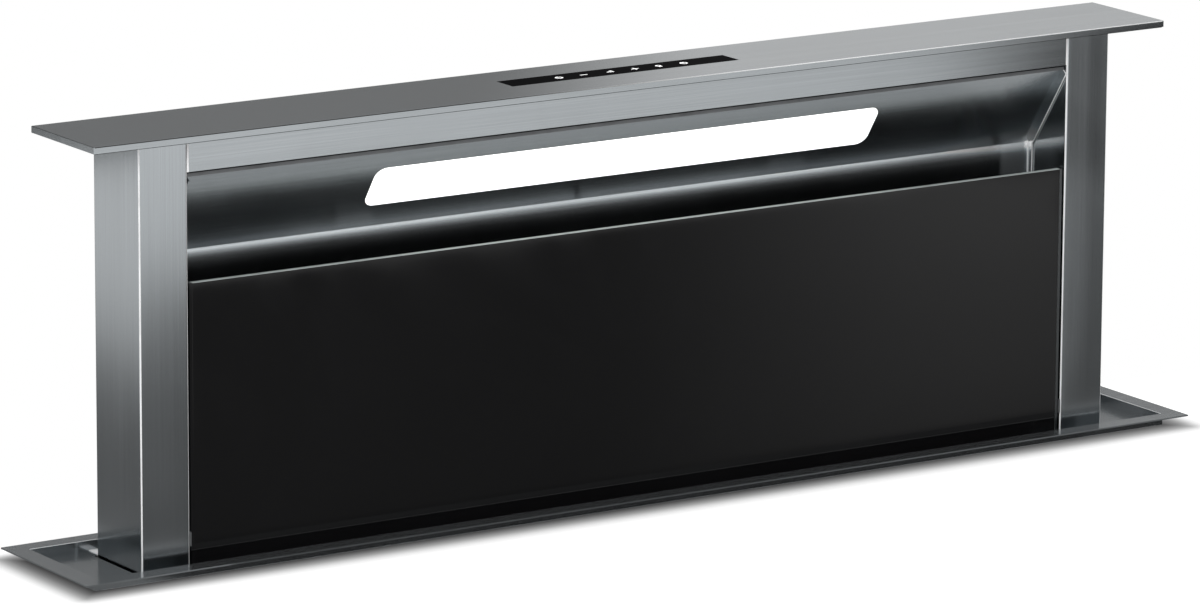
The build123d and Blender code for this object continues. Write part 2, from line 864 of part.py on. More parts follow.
def make_side_panel(side):
    outer = side * housing_length / 2
    inner = outer - side * housing_sheet
    with BuildPart() as panel:
        with BuildSketch(level(housing_foot)):
            with Locations(((outer + inner) / 2, tower_y)):
                Rectangle(housing_sheet, housing_width)
        extrude(amount=panel_height)
        with BuildSketch(level(housing_foot)):
            for end in (-1, 1):
                with Locations((inner - side * corner_flange / 2,
                                tower_y + end * (housing_width / 2 - 1.5 * housing_sheet))):
                    Rectangle(corner_flange, housing_sheet)
        extrude(amount=panel_height - housing_sheet)
    return panel


side_panel_left = make_side_panel(-1)
side_panel_right = make_side_panel(1)

with BuildPart() as bottom_panel:
    tray_length = panel_length - 2 * corner_flange - 2 * seat
    tray_width = housing_width - 2 * housing_sheet
    with BuildSketch(level(housing_foot)):
        with Locations((0, tower_y)):
            Rectangle(tray_length, tray_width)
    extrude(amount=tray_lip)
    offset(amount=-housing_sheet, openings=bottom_panel.faces().sort_by(Axis.Z)[-1])


def make_guide_rail(side):
    web = guide_face - guide_sheet / 2
    length = housing_top - housing_foot - tray_lip - 2 * guide_end_gap
    with BuildPart() as rail:
        with BuildSketch(level(housing_foot + tray_lip + guide_end_gap)):
            with Locations((side * web, tower_y)):
                Rectangle(guide_sheet, guide_width)
            for end in (-1, 1):
                with Locations((side * (guide_face - guide_depth / 2),
                                tower_y + end * (guide_width - guide_sheet) / 2)):
                    Rectangle(guide_depth, guide_sheet)
                lip = (guide_width - guide_mouth) / 2
                with Locations((side * (guide_inner + guide_sheet / 2),
                                tower_y + end * (guide_mouth + lip) / 2)):
                    Rectangle(guide_sheet, lip)
        extrude(amount=length)
    return rail


guide_rail_left = make_guide_rail(-1)
guide_rail_right = make_guide_rail(1)


# =================================================================== feet
def make_bracket(side):
    inner = side * housing_length / 2
    outer = inner + side * bracket_thickness
    with BuildPart() as bracket:
        with BuildSketch(across(min(inner, outer))):
            with BuildLine():
                Polyline(
                    (housing_back, 0), (housing_back, bracket_height), (housing_front, bracket_height),
                    (housing_front, bracket_shoulder), (tower_y - bracket_reach, bracket_nose),
                    (tower_y - bracket_reach, 0), close=True,
                )
            make_face()
            for end in (-1, 1):
                with Locations((tower_y + end * housing_width / 4,
                                (housing_foot + bracket_height) / 2)):
                    SlotOverall(bracket_slot_length, bracket_slot_width, rotation=90, mode=Mode.SUBTRACT)
        extrude(amount=bracket_thickness)
        with BuildSketch(level(0)):
            with Locations((outer - side * bracket_toe / 2,
                            (housing_back + tower_y - bracket_reach) / 2)):
                Rectangle(bracket_toe, housing_back - tower_y + bracket_reach)
            for offset_y in (-floor_hole_front, floor_hole_back):
                with Locations((outer - side * (bracket_toe + bracket_thickness) / 2, tower_y + offset_y)):
                    Circle(floor_hole_radius, mode=Mode.SUBTRACT)
        extrude(amount=bracket_thickness)
    return bracket


foot_bracket_left = make_bracket(-1)
foot_bracket_right = make_bracket(1)

# =================================================================== blower box
with BuildPart() as blower_box:
    with BuildSketch(facing(blower_back)):
        with Locations((0, blower_mid_z)):
            Rectangle(blower_length, blower_height)
    extrude(amount=blower_depth)
    offset(amount=-blower_sheet, openings=blower_box.faces().sort_by(Axis.Y)[0])
    with BuildSketch(facing(blower_front + blower_sheet)):
        with Locations((0, blower_mid_z)):
            Rectangle(blower_length - blower_sheet, blower_height - blower_sheet)
            Rectangle(blower_length - 2 * panel_flange, blower_height - 2 * panel_flange, mode=Mode.SUBTRACT)
    extrude(amount=blower_sheet)
    with BuildSketch(facing(blower_back)):
        with Locations((rotor_x, rotor_z)):
            Circle(aperture_radius)
    extrude(amount=2 * blower_sheet, mode=Mode.SUBTRACT)
    with BuildSketch(across(blower_length / 2 - 2 * blower_sheet)):
        with Locations((collar_y, collar_z)):
            Circle(collar_radius - collar_wall)
    extrude(amount=3 * blower_sheet, mode=Mode.SUBTRACT)

raised_length = blower_length - 2 * cover_border
raised_height = blower_height - 2 * cover_border
with BuildPart() as blower_cover:
    with BuildSketch(facing(blower_front)):
        with Locations((0, blower_mid_z)):
            RectangleRounded(blower_length, blower_height, cover_radius)
    extrude(amount=cover_sheet)
    with BuildSketch(facing(blower_front - cover_sheet)):
        with Locations((0, blower_mid_z)):
            RectangleRounded(raised_length, raised_height, raised_radius)
    extrude(amount=cover_raise, taper=raised_taper)
    with BuildSketch(facing(blower_front)):
        with Locations((0, blower_mid_z)):
            RectangleRounded(raised_length - 2 * raised_wall, raised_height - 2 * raised_wall,
                             raised_radius - raised_wall / 2)
    extrude(amount=cover_raise, mode=Mode.SUBTRACT)


def scroll_radius(angle):
    turned = (angle - tongue_angle) / (scroll_bottom - tongue_angle)
    return scroll_start + (scroll_end - scroll_start) * turned


def scroll_point(angle, extra):
    radius = scroll_radius(angle) + extra
    return (rotor_x + radius * cos(radians(angle)), rotor_z + radius * sin(radians(angle)))


duct_start = rotor_x + scroll_end - duct_setback
tongue = scroll_point(tongue_angle, 0)
duct_low = rotor_z - scroll_end


def scroll_face(plane, extra):
    # spiral from the tongue round to the bottom, then straight out to the duct
    tilt = radians(tongue_angle)
    start = tongue_angle + degrees(extra * (1 - sin(tilt)) / (scroll_start * cos(tilt)))
    turn = (scroll_bottom - start) / scroll_steps
    spiral = [scroll_point(start + turn * i, extra) for i in range(scroll_steps + 1)]
    with BuildSketch(plane) as face:
        with BuildLine():
            Spline(*spiral)
            Polyline(spiral[-1], (duct_start, duct_low - extra), (duct_start, spiral[0][1]), spiral[0])
        make_face()
    return face.sketch


with BuildPart() as volute:
    extrude(scroll_face(facing(scroll_back), scroll_sheet), amount=scroll_depth)
    extrude(scroll_face(facing(scroll_back), 0), amount=scroll_depth - scroll_sheet, mode=Mode.SUBTRACT)
    with BuildSketch(across(duct_start - 2 * scroll_sheet)):
        with Locations(((scroll_back + scroll_front + scroll_sheet) / 2, (duct_low + tongue[1]) / 2)):
            Rectangle(scroll_depth - scroll_sheet, tongue[1] - duct_low)
    extrude(amount=4 * scroll_sheet, mode=Mode.SUBTRACT)
    with BuildSketch(facing(scroll_front + scroll_sheet)):
        with Locations((rotor_x, rotor_z)):
            Circle(hub_radius + motor_hole_gap)
    extrude(amount=scroll_sheet, mode=Mode.SUBTRACT)

# rear plate of the scroll with the bell-mouthed inlet ring
with BuildPart() as volute_lid:
    extrude(scroll_face(facing(scroll_back + scroll_sheet), scroll_sheet), amount=scroll_sheet)
    with BuildSketch(facing(scroll_back + scroll_sheet)):
        with Locations((rotor_x, rotor_z)):
            Circle(eye_radius)
    extrude(amount=scroll_sheet, mode=Mode.SUBTRACT)
    with BuildSketch(Plane(origin=(rotor_x, 0, rotor_z), x_dir=(1, 0, 0), z_dir=(0, 0, 1))):
        with BuildLine():
            throat = (eye_radius, scroll_back - bell_lip)
            curl = (eye_radius, scroll_back + scroll_sheet)
            mouth = (eye_radius + bell_lip - seat, blower_back - blower_sheet - seat)
            Line(throat, curl)
            ThreePointArc(curl, (eye_radius + bell_bulge, scroll_back + bell_middle), mouth)
            Line(mouth, (mouth[0] + scroll_sheet, mouth[1]))
            ThreePointArc((mouth[0] + scroll_sheet, mouth[1]),
                          (eye_radius + bell_bulge + scroll_sheet, scroll_back + bell_middle_out),
                          (curl[0] + scroll_sheet, curl[1]))
            Polyline((curl[0] + scroll_sheet, curl[1]), (throat[0] + scroll_sheet, throat[1]), throat)
        make_face()
    revolve(axis=Axis((rotor_x, 0, rotor_z), (0, 1, 0)))

# =================================================================== fan wheel
wheel_back = scroll_back - wheel_gap
wheel_front = wheel_back - rotor_width - rotor_disc


def blade_corner(radius, angle):
    return (rotor_x + radius * cos(angle), rotor_z + radius * sin(angle))


with BuildPart() as fan_blades:
    with BuildSketch(facing(wheel_front + rotor_disc)):
        for blade in range(rotor_blades):
            inner_angle = 2 * pi * blade / rotor_blades
            outer_angle = inner_angle - radians(blade_sweep)
            middle_angle = inner_angle - radians(blade_sweep) * blade_curve
            inner_step = blade_thickness / rotor_eye
            outer_step = blade_thickness / rotor_radius
            middle_radius = (rotor_eye + rotor_radius) / 2
            edge = rotor_radius - blade_inset
            with BuildLine():
                ThreePointArc(blade_corner(rotor_eye, inner_angle), blade_corner(middle_radius, middle_angle),
                              blade_corner(edge, outer_angle))
                Line(blade_corner(edge, outer_angle), blade_corner(edge, outer_angle + outer_step))
                ThreePointArc(blade_corner(edge, outer_angle + outer_step),
                              blade_corner(middle_radius, middle_angle + inner_step),
                              blade_corner(rotor_eye, inner_angle + inner_step))
                Line(blade_corner(rotor_eye, inner_angle + inner_step), blade_corner(rotor_eye, inner_angle))
            make_face()
    extrude(amount=-rotor_width)

# driven disc with its hub, and the ring round the blades' other ends
with BuildPart() as fan_wheel:
    with BuildSketch(facing(wheel_front + rotor_disc)):
        with Locations((rotor_x, rotor_z)):
            Circle(rotor_radius)
    extrude(amount=rotor_disc)
    with BuildSketch(facing(wheel_front + hub_length)):
        with Locations((rotor_x, rotor_z)):
            Circle(hub_radius)
    extrude(amount=hub_length)
    with BuildSketch(facing(wheel_front + hub_length)):
        with Locations((rotor_x, rotor_z)):
            Circle(fan_shaft_radius)
    extrude(amount=hub_length, mode=Mode.SUBTRACT)
    with BuildSketch(facing(wheel_back)):
        with Locations((rotor_x, rotor_z)):
            Circle(rotor_radius + rotor_rim_out)
            Circle(rotor_radius - blade_inset, mode=Mode.SUBTRACT)
    extrude(amount=rotor_rim)

with BuildPart() as fan_shaft:
    with BuildSketch(facing(wheel_front + hub_length + shaft_past_hub)):
        with Locations((rotor_x, rotor_z)):
            Circle(fan_shaft_radius)
    extrude(amount=shaft_past_hub + hub_length + wheel_front - scroll_front + shaft_in_motor)

with BuildPart() as blower_motor:
    with BuildSketch(facing(scroll_front)):
        with Locations((rotor_x, rotor_z)):
            Circle(motor_flange_radius)
    extrude(amount=motor_flange_thickness)
    with BuildSketch(facing(scroll_front)):
        with Locations((rotor_x, rotor_z)):
            Circle(blower_motor_radius)
    extrude(amount=blower_motor_length)
    fillet(blower_motor.faces().sort_by(Axis.Y)[0].edges(), radius=blower_motor_edge)
    with BuildSketch(facing(scroll_front)):
        with Locations((rotor_x, rotor_z)):
            Circle(fan_shaft_radius + running_clearance)
    extrude(amount=shaft_in_motor + shaft_end_gap, mode=Mode.SUBTRACT)
    with BuildSketch(facing(scroll_front - fin_start)):
        with Locations((rotor_x, rotor_z)):
            with PolarLocations(blower_motor_radius, fin_count):
                Rectangle(fin_depth, fin_width)
    extrude(amount=fin_length)

# =================================================================== outlet
wall_x = blower_length / 2
with BuildPart() as outlet_duct:
    with BuildSketch(across(duct_start)):
        with Locations(((scroll_back + scroll_front) / 2, (duct_low + tongue[1]) / 2)):
            Rectangle(scroll_depth, tongue[1] - duct_low + 2 * scroll_sheet)
    with BuildSketch(across(wall_x - blower_sheet)):
        with Locations((collar_y, collar_z)):
            Circle(collar_radius - collar_wall)
    loft()
    with BuildSketch(across(duct_start)):
        with Locations(((scroll_back + scroll_front + scroll_sheet) / 2, (duct_low + tongue[1]) / 2)):
            Rectangle(scroll_depth - 3 * scroll_sheet, tongue[1] - duct_low)
    with BuildSketch(across(wall_x - blower_sheet)):
        with Locations((collar_y, collar_z)):
            Circle(collar_radius - collar_wall - scroll_sheet)
    loft(mode=Mode.SUBTRACT)

with BuildPart() as outlet_collar:
    with BuildSketch(Plane(origin=(0, collar_y, collar_z), x_dir=(1, 0, 0), z_dir=(0, -1, 0))):
        with BuildLine():
            bore = collar_radius - collar_wall
            end = wall_x + collar_length
            groove_end = end - groove_from_end
            Polyline(
                (wall_x, bore), (wall_x, collar_radius + collar_flange),
                (wall_x + collar_wall, collar_radius + collar_flange), (wall_x + collar_wall, collar_radius),
                (groove_end - groove_span, collar_radius),
            )
            ThreePointArc((groove_end - groove_span, collar_radius),
                          (groove_end - groove_span / 2, collar_radius - groove_depth), (groove_end, collar_radius))
            Polyline((groove_end, collar_radius), (end, collar_radius), (end, bore), (wall_x, bore))
        make_face()
    revolve(axis=Axis((0, collar_y, collar_z), (1, 0, 0)))

pin_half = sqrt((collar_radius - collar_wall) ** 2 - damper_pin_radius**2)
with BuildPart() as damper_pin:
    with BuildSketch(level(collar_z - pin_half)):
        with Locations((damper_x, collar_y)):
            Circle(damper_pin_radius)
    extrude(amount=2 * pin_half)


# half-round flaps that meet on the pin and open outwards
def make_flap(side):
    flap_radius = collar_radius - collar_wall - flap_clearance
    knuckle_radius = damper_pin_radius + running_clearance + knuckle_wall
    with BuildPart() as flap:
        with BuildSketch(across(damper_x - flap_thickness / 2)):
            with Locations((collar_y, collar_z)):
                Circle(flap_radius)
            with Locations((collar_y - side * flap_radius, collar_z)):
                Rectangle(2 * flap_radius, 2 * flap_radius, mode=Mode.SUBTRACT)
            with Locations((collar_y, collar_z)):
                Rectangle(2 * (knuckle_radius + seat), 2 * flap_radius, mode=Mode.SUBTRACT)
        extrude(amount=flap_thickness)
        for slot in range(knuckle_count):
            if (slot % 2 == 0) == (side > 0):
                low = collar_z + (slot - knuckle_count / 2) * (knuckle_length + knuckle_gap)
                with BuildSketch(level(low)):
                    with Locations((damper_x, collar_y)):
                        Circle(knuckle_radius)
                    with Locations((damper_x, collar_y + side * (knuckle_radius + flap_root) / 2)):
                        Rectangle(flap_thickness, knuckle_radius + flap_root)
                    with Locations((damper_x, collar_y)):
                        Circle(damper_pin_radius + running_clearance, mode=Mode.SUBTRACT)
                extrude(amount=knuckle_length)
    return flap


damper_flap_front = make_flap(-1)
damper_flap_back = make_flap(1)

# =================================================================== electronics
electronics_top = housing_top - electronics_top_gap
electronics_x = -housing_length / 2 + electronics_inset + electronics_length / 2
electronics_z = electronics_top - electronics_height / 2
gland_face = electronics_x - electronics_length / 2
gland_y = housing_front - electronics_depth / 2
with BuildPart() as electronics_box:
    with BuildSketch(facing(housing_front)):
        with Locations((electronics_x, electronics_z)):
            RectangleRounded(electronics_length, electronics_height, electronics_radius)
    extrude(amount=electronics_depth)
    offset(amount=-electronics_wall, openings=electronics_box.faces().sort_by(Axis.Y)[0])
    with BuildSketch(across(gland_face)):
        with Locations((gland_y, electronics_z)):
            Circle(gland_stem + seat)
    extrude(amount=electronics_wall, mode=Mode.SUBTRACT)

with BuildPart() as electronics_lid:
    with BuildSketch(facing(housing_front - electronics_depth)):
        with Locations((electronics_x, electronics_z)):
            RectangleRounded(electronics_length, electronics_height, electronics_radius)
    extrude(amount=electronics_lid_thickness)
    fillet(electronics_lid.faces().sort_by(Axis.Y)[0].edges(), radius=lid_edge)

with BuildPart() as mains_gland:
    with BuildSketch(across(gland_face - gland_nut_length)):
        with Locations((gland_y, electronics_z)):
            RegularPolygon(gland_nut, 6)
    extrude(amount=gland_nut_length)
    with BuildSketch(across(gland_face - gland_length)):
        with Locations((gland_y, electronics_z)):
            Circle(gland_cap_radius)
    extrude(amount=gland_length - gland_nut_length)
    with BuildSketch(across(gland_face)):
        with Locations((gland_y, electronics_z)):
            Circle(gland_stem)
    extrude(amount=electronics_wall)
    with BuildSketch(across(gland_face - gland_length)):
        with Locations((gland_y, electronics_z)):
            Circle(gland_radius)
    extrude(amount=gland_length + electronics_wall, mode=Mode.SUBTRACT)

# =================================================================== files
pieces = {
    "trim_frame": trim_frame, "frame_seal": frame_seal, "guide_clips": guide_clips,
    "top_cap": top_cap, "cap_tray": cap_tray, "cap_seal": cap_seal,
    "control_glass": control_glass, "control_board": control_board, "control_cover": control_cover,
    "left_column": left_column, "right_column": right_column, "front_rail": front_rail,
    "back_liner": back_liner, "led_diffuser": led_diffuser, "led_tray": led_tray, "led_board": led_board,
    "rear_cover": rear_cover, "front_glass": front_glass, "glass_trims": glass_trims,
    "glass_hooks": glass_hooks, "glass_fittings": glass_fittings, "glass_support": glass_support,
    "grease_filter_left": grease_filter_left, "grease_filter_right": grease_filter_right,
    "filter_rails": filter_rails, "lower_crossbeam": lower_crossbeam, "bearing_blocks": bearing_blocks,
    "lift_gearbox": lift_gearbox, "lift_motor": lift_motor, "slide_shoes": slide_shoes,
    "cross_shaft": cross_shaft, "pinion_left": pinion_left, "pinion_right": pinion_right,
    "rack_left": rack_left, "rack_right": rack_right,
    "rear_panel": rear_panel, "front_panel": front_panel, "side_panel_left": side_panel_left,
    "side_panel_right": side_panel_right, "bottom_panel": bottom_panel,
    "guide_rail_left": guide_rail_left, "guide_rail_right": guide_rail_right,
    "foot_bracket_left": foot_bracket_left, "foot_bracket_right": foot_bracket_right,
    "blower_box": blower_box, "blower_cover": blower_cover, "volute": volute, "volute_lid": volute_lid,
    "fan_wheel": fan_wheel, "fan_blades": fan_blades, "fan_shaft": fan_shaft, "blower_motor": blower_motor,
    "outlet_duct": outlet_duct, "outlet_collar": outlet_collar, "damper_pin": damper_pin,
    "damper_flap_front": damper_flap_front, "damper_flap_back": damper_flap_back,
    "electronics_box": electronics_box, "electronics_lid": electronics_lid, "mains_gland": mains_gland,
}
for name, piece in pieces.items():
    piece.part.label = name
    export_step(piece.part, f"parts/{name}.step")
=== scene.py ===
import functools
import math

import bmesh
import bpy
from mathutils import Matrix, Vector


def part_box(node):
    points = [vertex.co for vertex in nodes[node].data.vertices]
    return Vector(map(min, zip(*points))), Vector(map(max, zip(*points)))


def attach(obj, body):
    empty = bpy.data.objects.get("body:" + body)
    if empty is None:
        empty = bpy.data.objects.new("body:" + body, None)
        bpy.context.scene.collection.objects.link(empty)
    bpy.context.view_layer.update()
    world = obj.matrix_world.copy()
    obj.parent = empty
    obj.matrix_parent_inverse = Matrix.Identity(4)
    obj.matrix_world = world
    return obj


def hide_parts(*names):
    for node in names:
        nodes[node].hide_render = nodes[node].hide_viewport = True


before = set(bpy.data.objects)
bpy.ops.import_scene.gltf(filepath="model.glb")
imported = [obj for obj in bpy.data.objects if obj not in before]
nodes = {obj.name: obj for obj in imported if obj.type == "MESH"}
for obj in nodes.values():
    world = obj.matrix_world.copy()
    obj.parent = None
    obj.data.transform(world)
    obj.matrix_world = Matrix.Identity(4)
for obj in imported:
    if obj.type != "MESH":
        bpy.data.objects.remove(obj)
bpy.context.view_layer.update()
scene = bpy.context.scene
print("frame loaded,", len(nodes), "nodes")


cameraFit = {
    "place": (-2.7447, -4.1210, 1.8683),
    "yaw": 33.0246,      # degrees, towards +X from +Y
    "pitch": -12.8034,
    "roll": 0.328,
    "lens": 216.05,
    "sensor": 36.0,
}


def addCamera(fit):
    yaw, pitch, roll = (math.radians(fit[key]) for key in ("yaw", "pitch", "roll"))
    forward = Vector((math.sin(yaw) * math.cos(pitch), math.cos(yaw) * math.cos(pitch), math.sin(pitch)))
    level = Vector((math.cos(yaw), -math.sin(yaw), 0.0))
    above = level.cross(forward)
    right = level * math.cos(roll) + above * math.sin(roll)
    up = above * math.cos(roll) - level * math.sin(roll)
    data = bpy.data.cameras.new("photoCamera")
    data.lens = fit["lens"]
    data.sensor_fit = "HORIZONTAL"
    data.sensor_width = fit["sensor"]
    camera = bpy.data.objects.new("photoCamera", data)
    turned = Matrix((right, up, -forward)).transposed().to_4x4()
    turned.translation = fit["place"]
    camera.matrix_world = turned
    scene.collection.objects.link(camera)
    scene.camera = camera


addCamera(cameraFit)
scene.view_settings.view_transform = "Standard"
print("camera set")


# mesh helpers
def linkMesh(name, mesh, *materials):
    thing = bpy.data.objects.new(name, mesh)
    scene.collection.objects.link(thing)
    for material in materials:
        mesh.materials.append(material)
    return thing


def meshFromBmesh(name, bm, *materials):
    mesh = bpy.data.meshes.new(name)
    bm.normal_update()
    bm.to_mesh(mesh)
    bm.free()
    return linkMesh(name, mesh, *materials)


def settle(piece, body, node=None):
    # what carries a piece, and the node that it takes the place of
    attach(piece, body)
    if node:
        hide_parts(node)


def addBox(bm, low, high):
    verts = [bm.verts.new((x, y, z)) for z in (low[2], high[2]) for y in (low[1], high[1])
             for x in (low[0], high[0])]
    for loop in ((0, 2, 3, 1), (4, 5, 7, 6), (0, 1, 5, 4), (1, 3, 7, 5), (3, 2, 6, 7), (2, 0, 4, 6)):
        bm.faces.new([verts[i] for i in loop])


def bevelEdges(bm, edges, width, segments=1):
    bmesh.ops.bevel(bm, geom=list(edges), offset=width, segments=segments, profile=0.5, affect="EDGES")


# node helpers; a node's tree is found from the sockets it is given
def feed(value, socket):
    # a node's result is linked to the socket, a plain value is set on it; a colour is given as a triple
    if isinstance(value, bpy.types.NodeSocket):
        socket.id_data.links.new(value, socket)
    else:
        socket.default_value = (*value, 1.0) if socket.type == "RGBA" else value


def feedAll(sockets, values):
    for label, value in values.items():
        feed(value, sockets[label])


def addNode(tree, kind, values=None, **settings):
    node = tree.nodes.new(kind)
    for key, value in settings.items():
        setattr(node, key, value)
    feedAll(node.inputs, values or {})
    return node


def newTree(name, kind, inputs, outputs):
    # a node group; a socket is given its own number or triple, or a word for its kind
    tree = bpy.data.node_groups.new(name, kind + "NodeTree")
    for way, sockets in (("INPUT", inputs), ("OUTPUT", outputs)):
        for label, value in sockets.items():
            word = value if isinstance(value, str) else "Vector" if isinstance(value, tuple) else "Float"
            socket = tree.interface.new_socket(name=label, in_out=way, socket_type="NodeSocket" + word)
            if word != value:
                socket.default_value = value
    return tree, tree.nodes.new("NodeGroupInput").outputs, tree.nodes.new("NodeGroupOutput").inputs


def mathNode(operation, *values, clamp=False):
    tree = next(value.id_data for value in values if isinstance(value, bpy.types.NodeSocket))
    return addNode(tree, "ShaderNodeMath", dict(enumerate(values)), operation=operation, use_clamp=clamp).outputs[0]


plus, minus, times, over, larger, smaller = (
    functools.partial(mathNode, operation)
    for operation in ("ADD", "SUBTRACT", "MULTIPLY", "DIVIDE", "MAXIMUM", "MINIMUM"))


def vectorNode(operation, first, second):
    return addNode(first.id_data, "ShaderNodeVectorMath", {0: first, 1: second}, operation=operation).outputs[0]


def noiseNode(vector, scale, detail=3.0, roughness=0.5, distortion=0.0):
    return addNode(vector.id_data, "ShaderNodeTexNoise", {
        "Vector": vector, "Scale": scale, "Detail": detail, "Roughness": roughness, "Distortion": distortion,
    }).outputs["Fac"]


def rangeNode(value, low, high, toLow=0.0, toHigh=1.0, kind="LINEAR"):
    return addNode(value.id_data, "ShaderNodeMapRange", {
        "Value": value, "From Min": low, "From Max": high, "To Min": toLow, "To Max": toHigh,
    }, interpolation_type=kind).outputs["Result"]


easeNode = functools.partial(rangeNode, kind="SMOOTHSTEP")


def bumpNode(height, strength, distance):
    return addNode(height.id_data, "ShaderNodeBump",
                   {"Strength": strength, "Distance": distance, "Height": height}).outputs["Normal"]


def tintNode(low, high, factor):
    return addNode(factor.id_data, "ShaderNodeMix", {6: low, 7: high, 0: factor}, data_type="RGBA").outputs[2]


def scaleTint(tint, share):
    return addNode(tint.id_data, "ShaderNodeMix", {0: 1.0, 6: tint, 7: share},
                   data_type="RGBA", blend_type="MULTIPLY").outputs[2]


def splitPlace(tree):
    place = addNode(tree, "ShaderNodeTexCoord").outputs["Object"]
    split = addNode(tree, "ShaderNodeSeparateXYZ", {0: place}).outputs
    return split["X"], split["Y"], split["Z"]


# shader node groups
def makeBrushGroup():
    # lines of a brushed finish, long along one axis
    group, entry, leave = newTree(
        "brushLines", "Shader",
        {"Vector": "Vector", "Stretch": (4.0, 700.0, 700.0), "Depth": 0.2, "Distance": 0.00004},
        {"Lines": "Float", "Bands": "Float", "Normal": "Vector"})
    drawn = vectorNode("MULTIPLY", entry["Vector"], entry["Stretch"])
    fine = noiseNode(drawn, 1.0, 4.0, 0.65)
    bands = noiseNode(vectorNode("MULTIPLY", drawn, (0.5, 0.5, 0.5)), 0.16, 2.0)
    feedAll(leave, {"Lines": rangeNode(fine, 0.3, 0.7), "Bands": rangeNode(bands, 0.3, 0.7),
                    "Normal": bumpNode(fine, entry["Depth"], entry["Distance"])})
    return group


def makeHandlingGroup():
    # broad soft marks that handling, wiping and dust leave
    group, entry, leave = newTree(
        "handlingMarks", "Shader", {"Vector": "Vector", "Scale": 9.0, "Amount": 0.5}, {"Mask": "Float"})
    cloud = noiseNode(entry["Vector"], entry["Scale"], 5.0, 0.6, 0.8)
    feed(times(easeNode(cloud, 0.42, 0.72), entry["Amount"]), leave["Mask"])
    return group


def makeSpangleGroup():
    # zinc crystals: flat cells of slightly different grey
    group, entry, leave = newTree(
        "zincSpangle", "Shader", {"Vector": "Vector", "Scale": 90.0}, {"Cells": "Float", "Edges": "Float"})
    wobble = times(noiseNode(entry["Vector"], 60.0, 2.0), 0.008)
    bent = vectorNode("ADD", entry["Vector"], wobble)
    cells = addNode(group, "ShaderNodeTexVoronoi", {"Vector": bent, "Scale": entry["Scale"]}).outputs
    greys = addNode(group, "ShaderNodeSeparateColor", {0: cells["Color"]}).outputs
    feedAll(leave, {"Cells": greys[0], "Edges": rangeNode(cells["Distance"], 0.2, 0.8)})
    return group


def makeMouldGroup():
    # fine spark-eroded grain of moulded plastic and castings
    group, entry, leave = newTree(
        "mouldGrain", "Shader", {"Vector": "Vector", "Scale": 900.0, "Depth": 0.3, "Distance": 0.0001},
        {"Grain": "Float", "Normal": "Vector"})
    grain = noiseNode(entry["Vector"], entry["Scale"])
    feedAll(leave, {"Grain": grain, "Normal": bumpNode(grain, entry["Depth"], entry["Distance"])})
    return group


brushLines = makeBrushGroup()
handlingMarks = makeHandlingGroup()
zincSpangle = makeSpangleGroup()
mouldGrain = makeMouldGroup()
print("shader groups built")


# materials
def newMaterial(name):
    material = bpy.data.materials.new(name)
    material.use_nodes = True
    tree = material.node_tree
    return material, tree.nodes["Principled BSDF"].inputs, addNode(tree, "ShaderNodeTexCoord").outputs["Object"]


def useGroup(group, place, **values):
    return addNode(place.id_data, "ShaderNodeGroup", {"Vector": place, **values}, node_tree=group).outputs


def toned(colour, share, lift=0.0):
    return tuple(min(1.0, part * share + lift) for part in colour)


def handled(place, scale, amount):
    # how far each place is marked by handling, from 0 to the amount
    return useGroup(handlingMarks, place, Scale=scale, Amount=amount)["Mask"]


def acrossLines(tree, grain):
    # the direction square to the brush lines, in which they smear what they mirror
    normal = addNode(tree, "ShaderNodeNewGeometry").outputs["Normal"]
    ownWay = (0.011, 0.013, 0.017)      # end faces have no such direction of their own
    return vectorNode("ADD", vectorNode("CROSS_PRODUCT", normal, grain), ownWay)


def brushedSteel(name, colour, stretch, rough=0.26, roughSpread=0.04, tone=0.06, depth=0.25, marks=0.35, smear=0.6,
                 metallic=1.0):
    material, shader, place = newMaterial(name)
    if smear:
        grain = tuple(float(part == min(stretch)) for part in stretch)
        feedAll(shader, {"Anisotropic": smear, "Tangent": acrossLines(place.id_data, grain)})
    lines = useGroup(brushLines, place, Stretch=stretch, Depth=depth)
    soft = handled(place, 7.0, marks)
    streaky = rangeNode(lines["Bands"], 0.0, 1.0, rough - roughSpread / 2, rough + roughSpread / 2)
    feedAll(shader, {
        "Base Color": tintNode(toned(colour, 1 - tone), toned(colour, 1 + tone), lines["Lines"]),
        "Roughness": plus(streaky, times(soft, 0.08)),
        "Normal": lines["Normal"],
        "Metallic": metallic,
    })
    return material


# painted light on the liner: bands of painted highlight and shade by height, and painted reflections at its right
# end
linerPaintedLight = {
    "bands": ((0.790, 0.32), (0.801, 0.33), (0.8045, 0.65), (0.8072, 1.2), (0.8110, 1.2), (0.8145, 0.90),
              (0.820, 0.68), (0.8353, 0.58), (0.8504, 0.55), (0.870, 0.50)),      # height, share of the tone
    "wallEnd": (0.342, 0.347), "wallTop": (0.8075, 0.8085), "wallGain": 0.5, "wallMetallic": 0.89,
    "slopeEnd": (0.28, 0.36), "slopeRise": (0.808, 0.872), "slopeGain": 0.9,
}


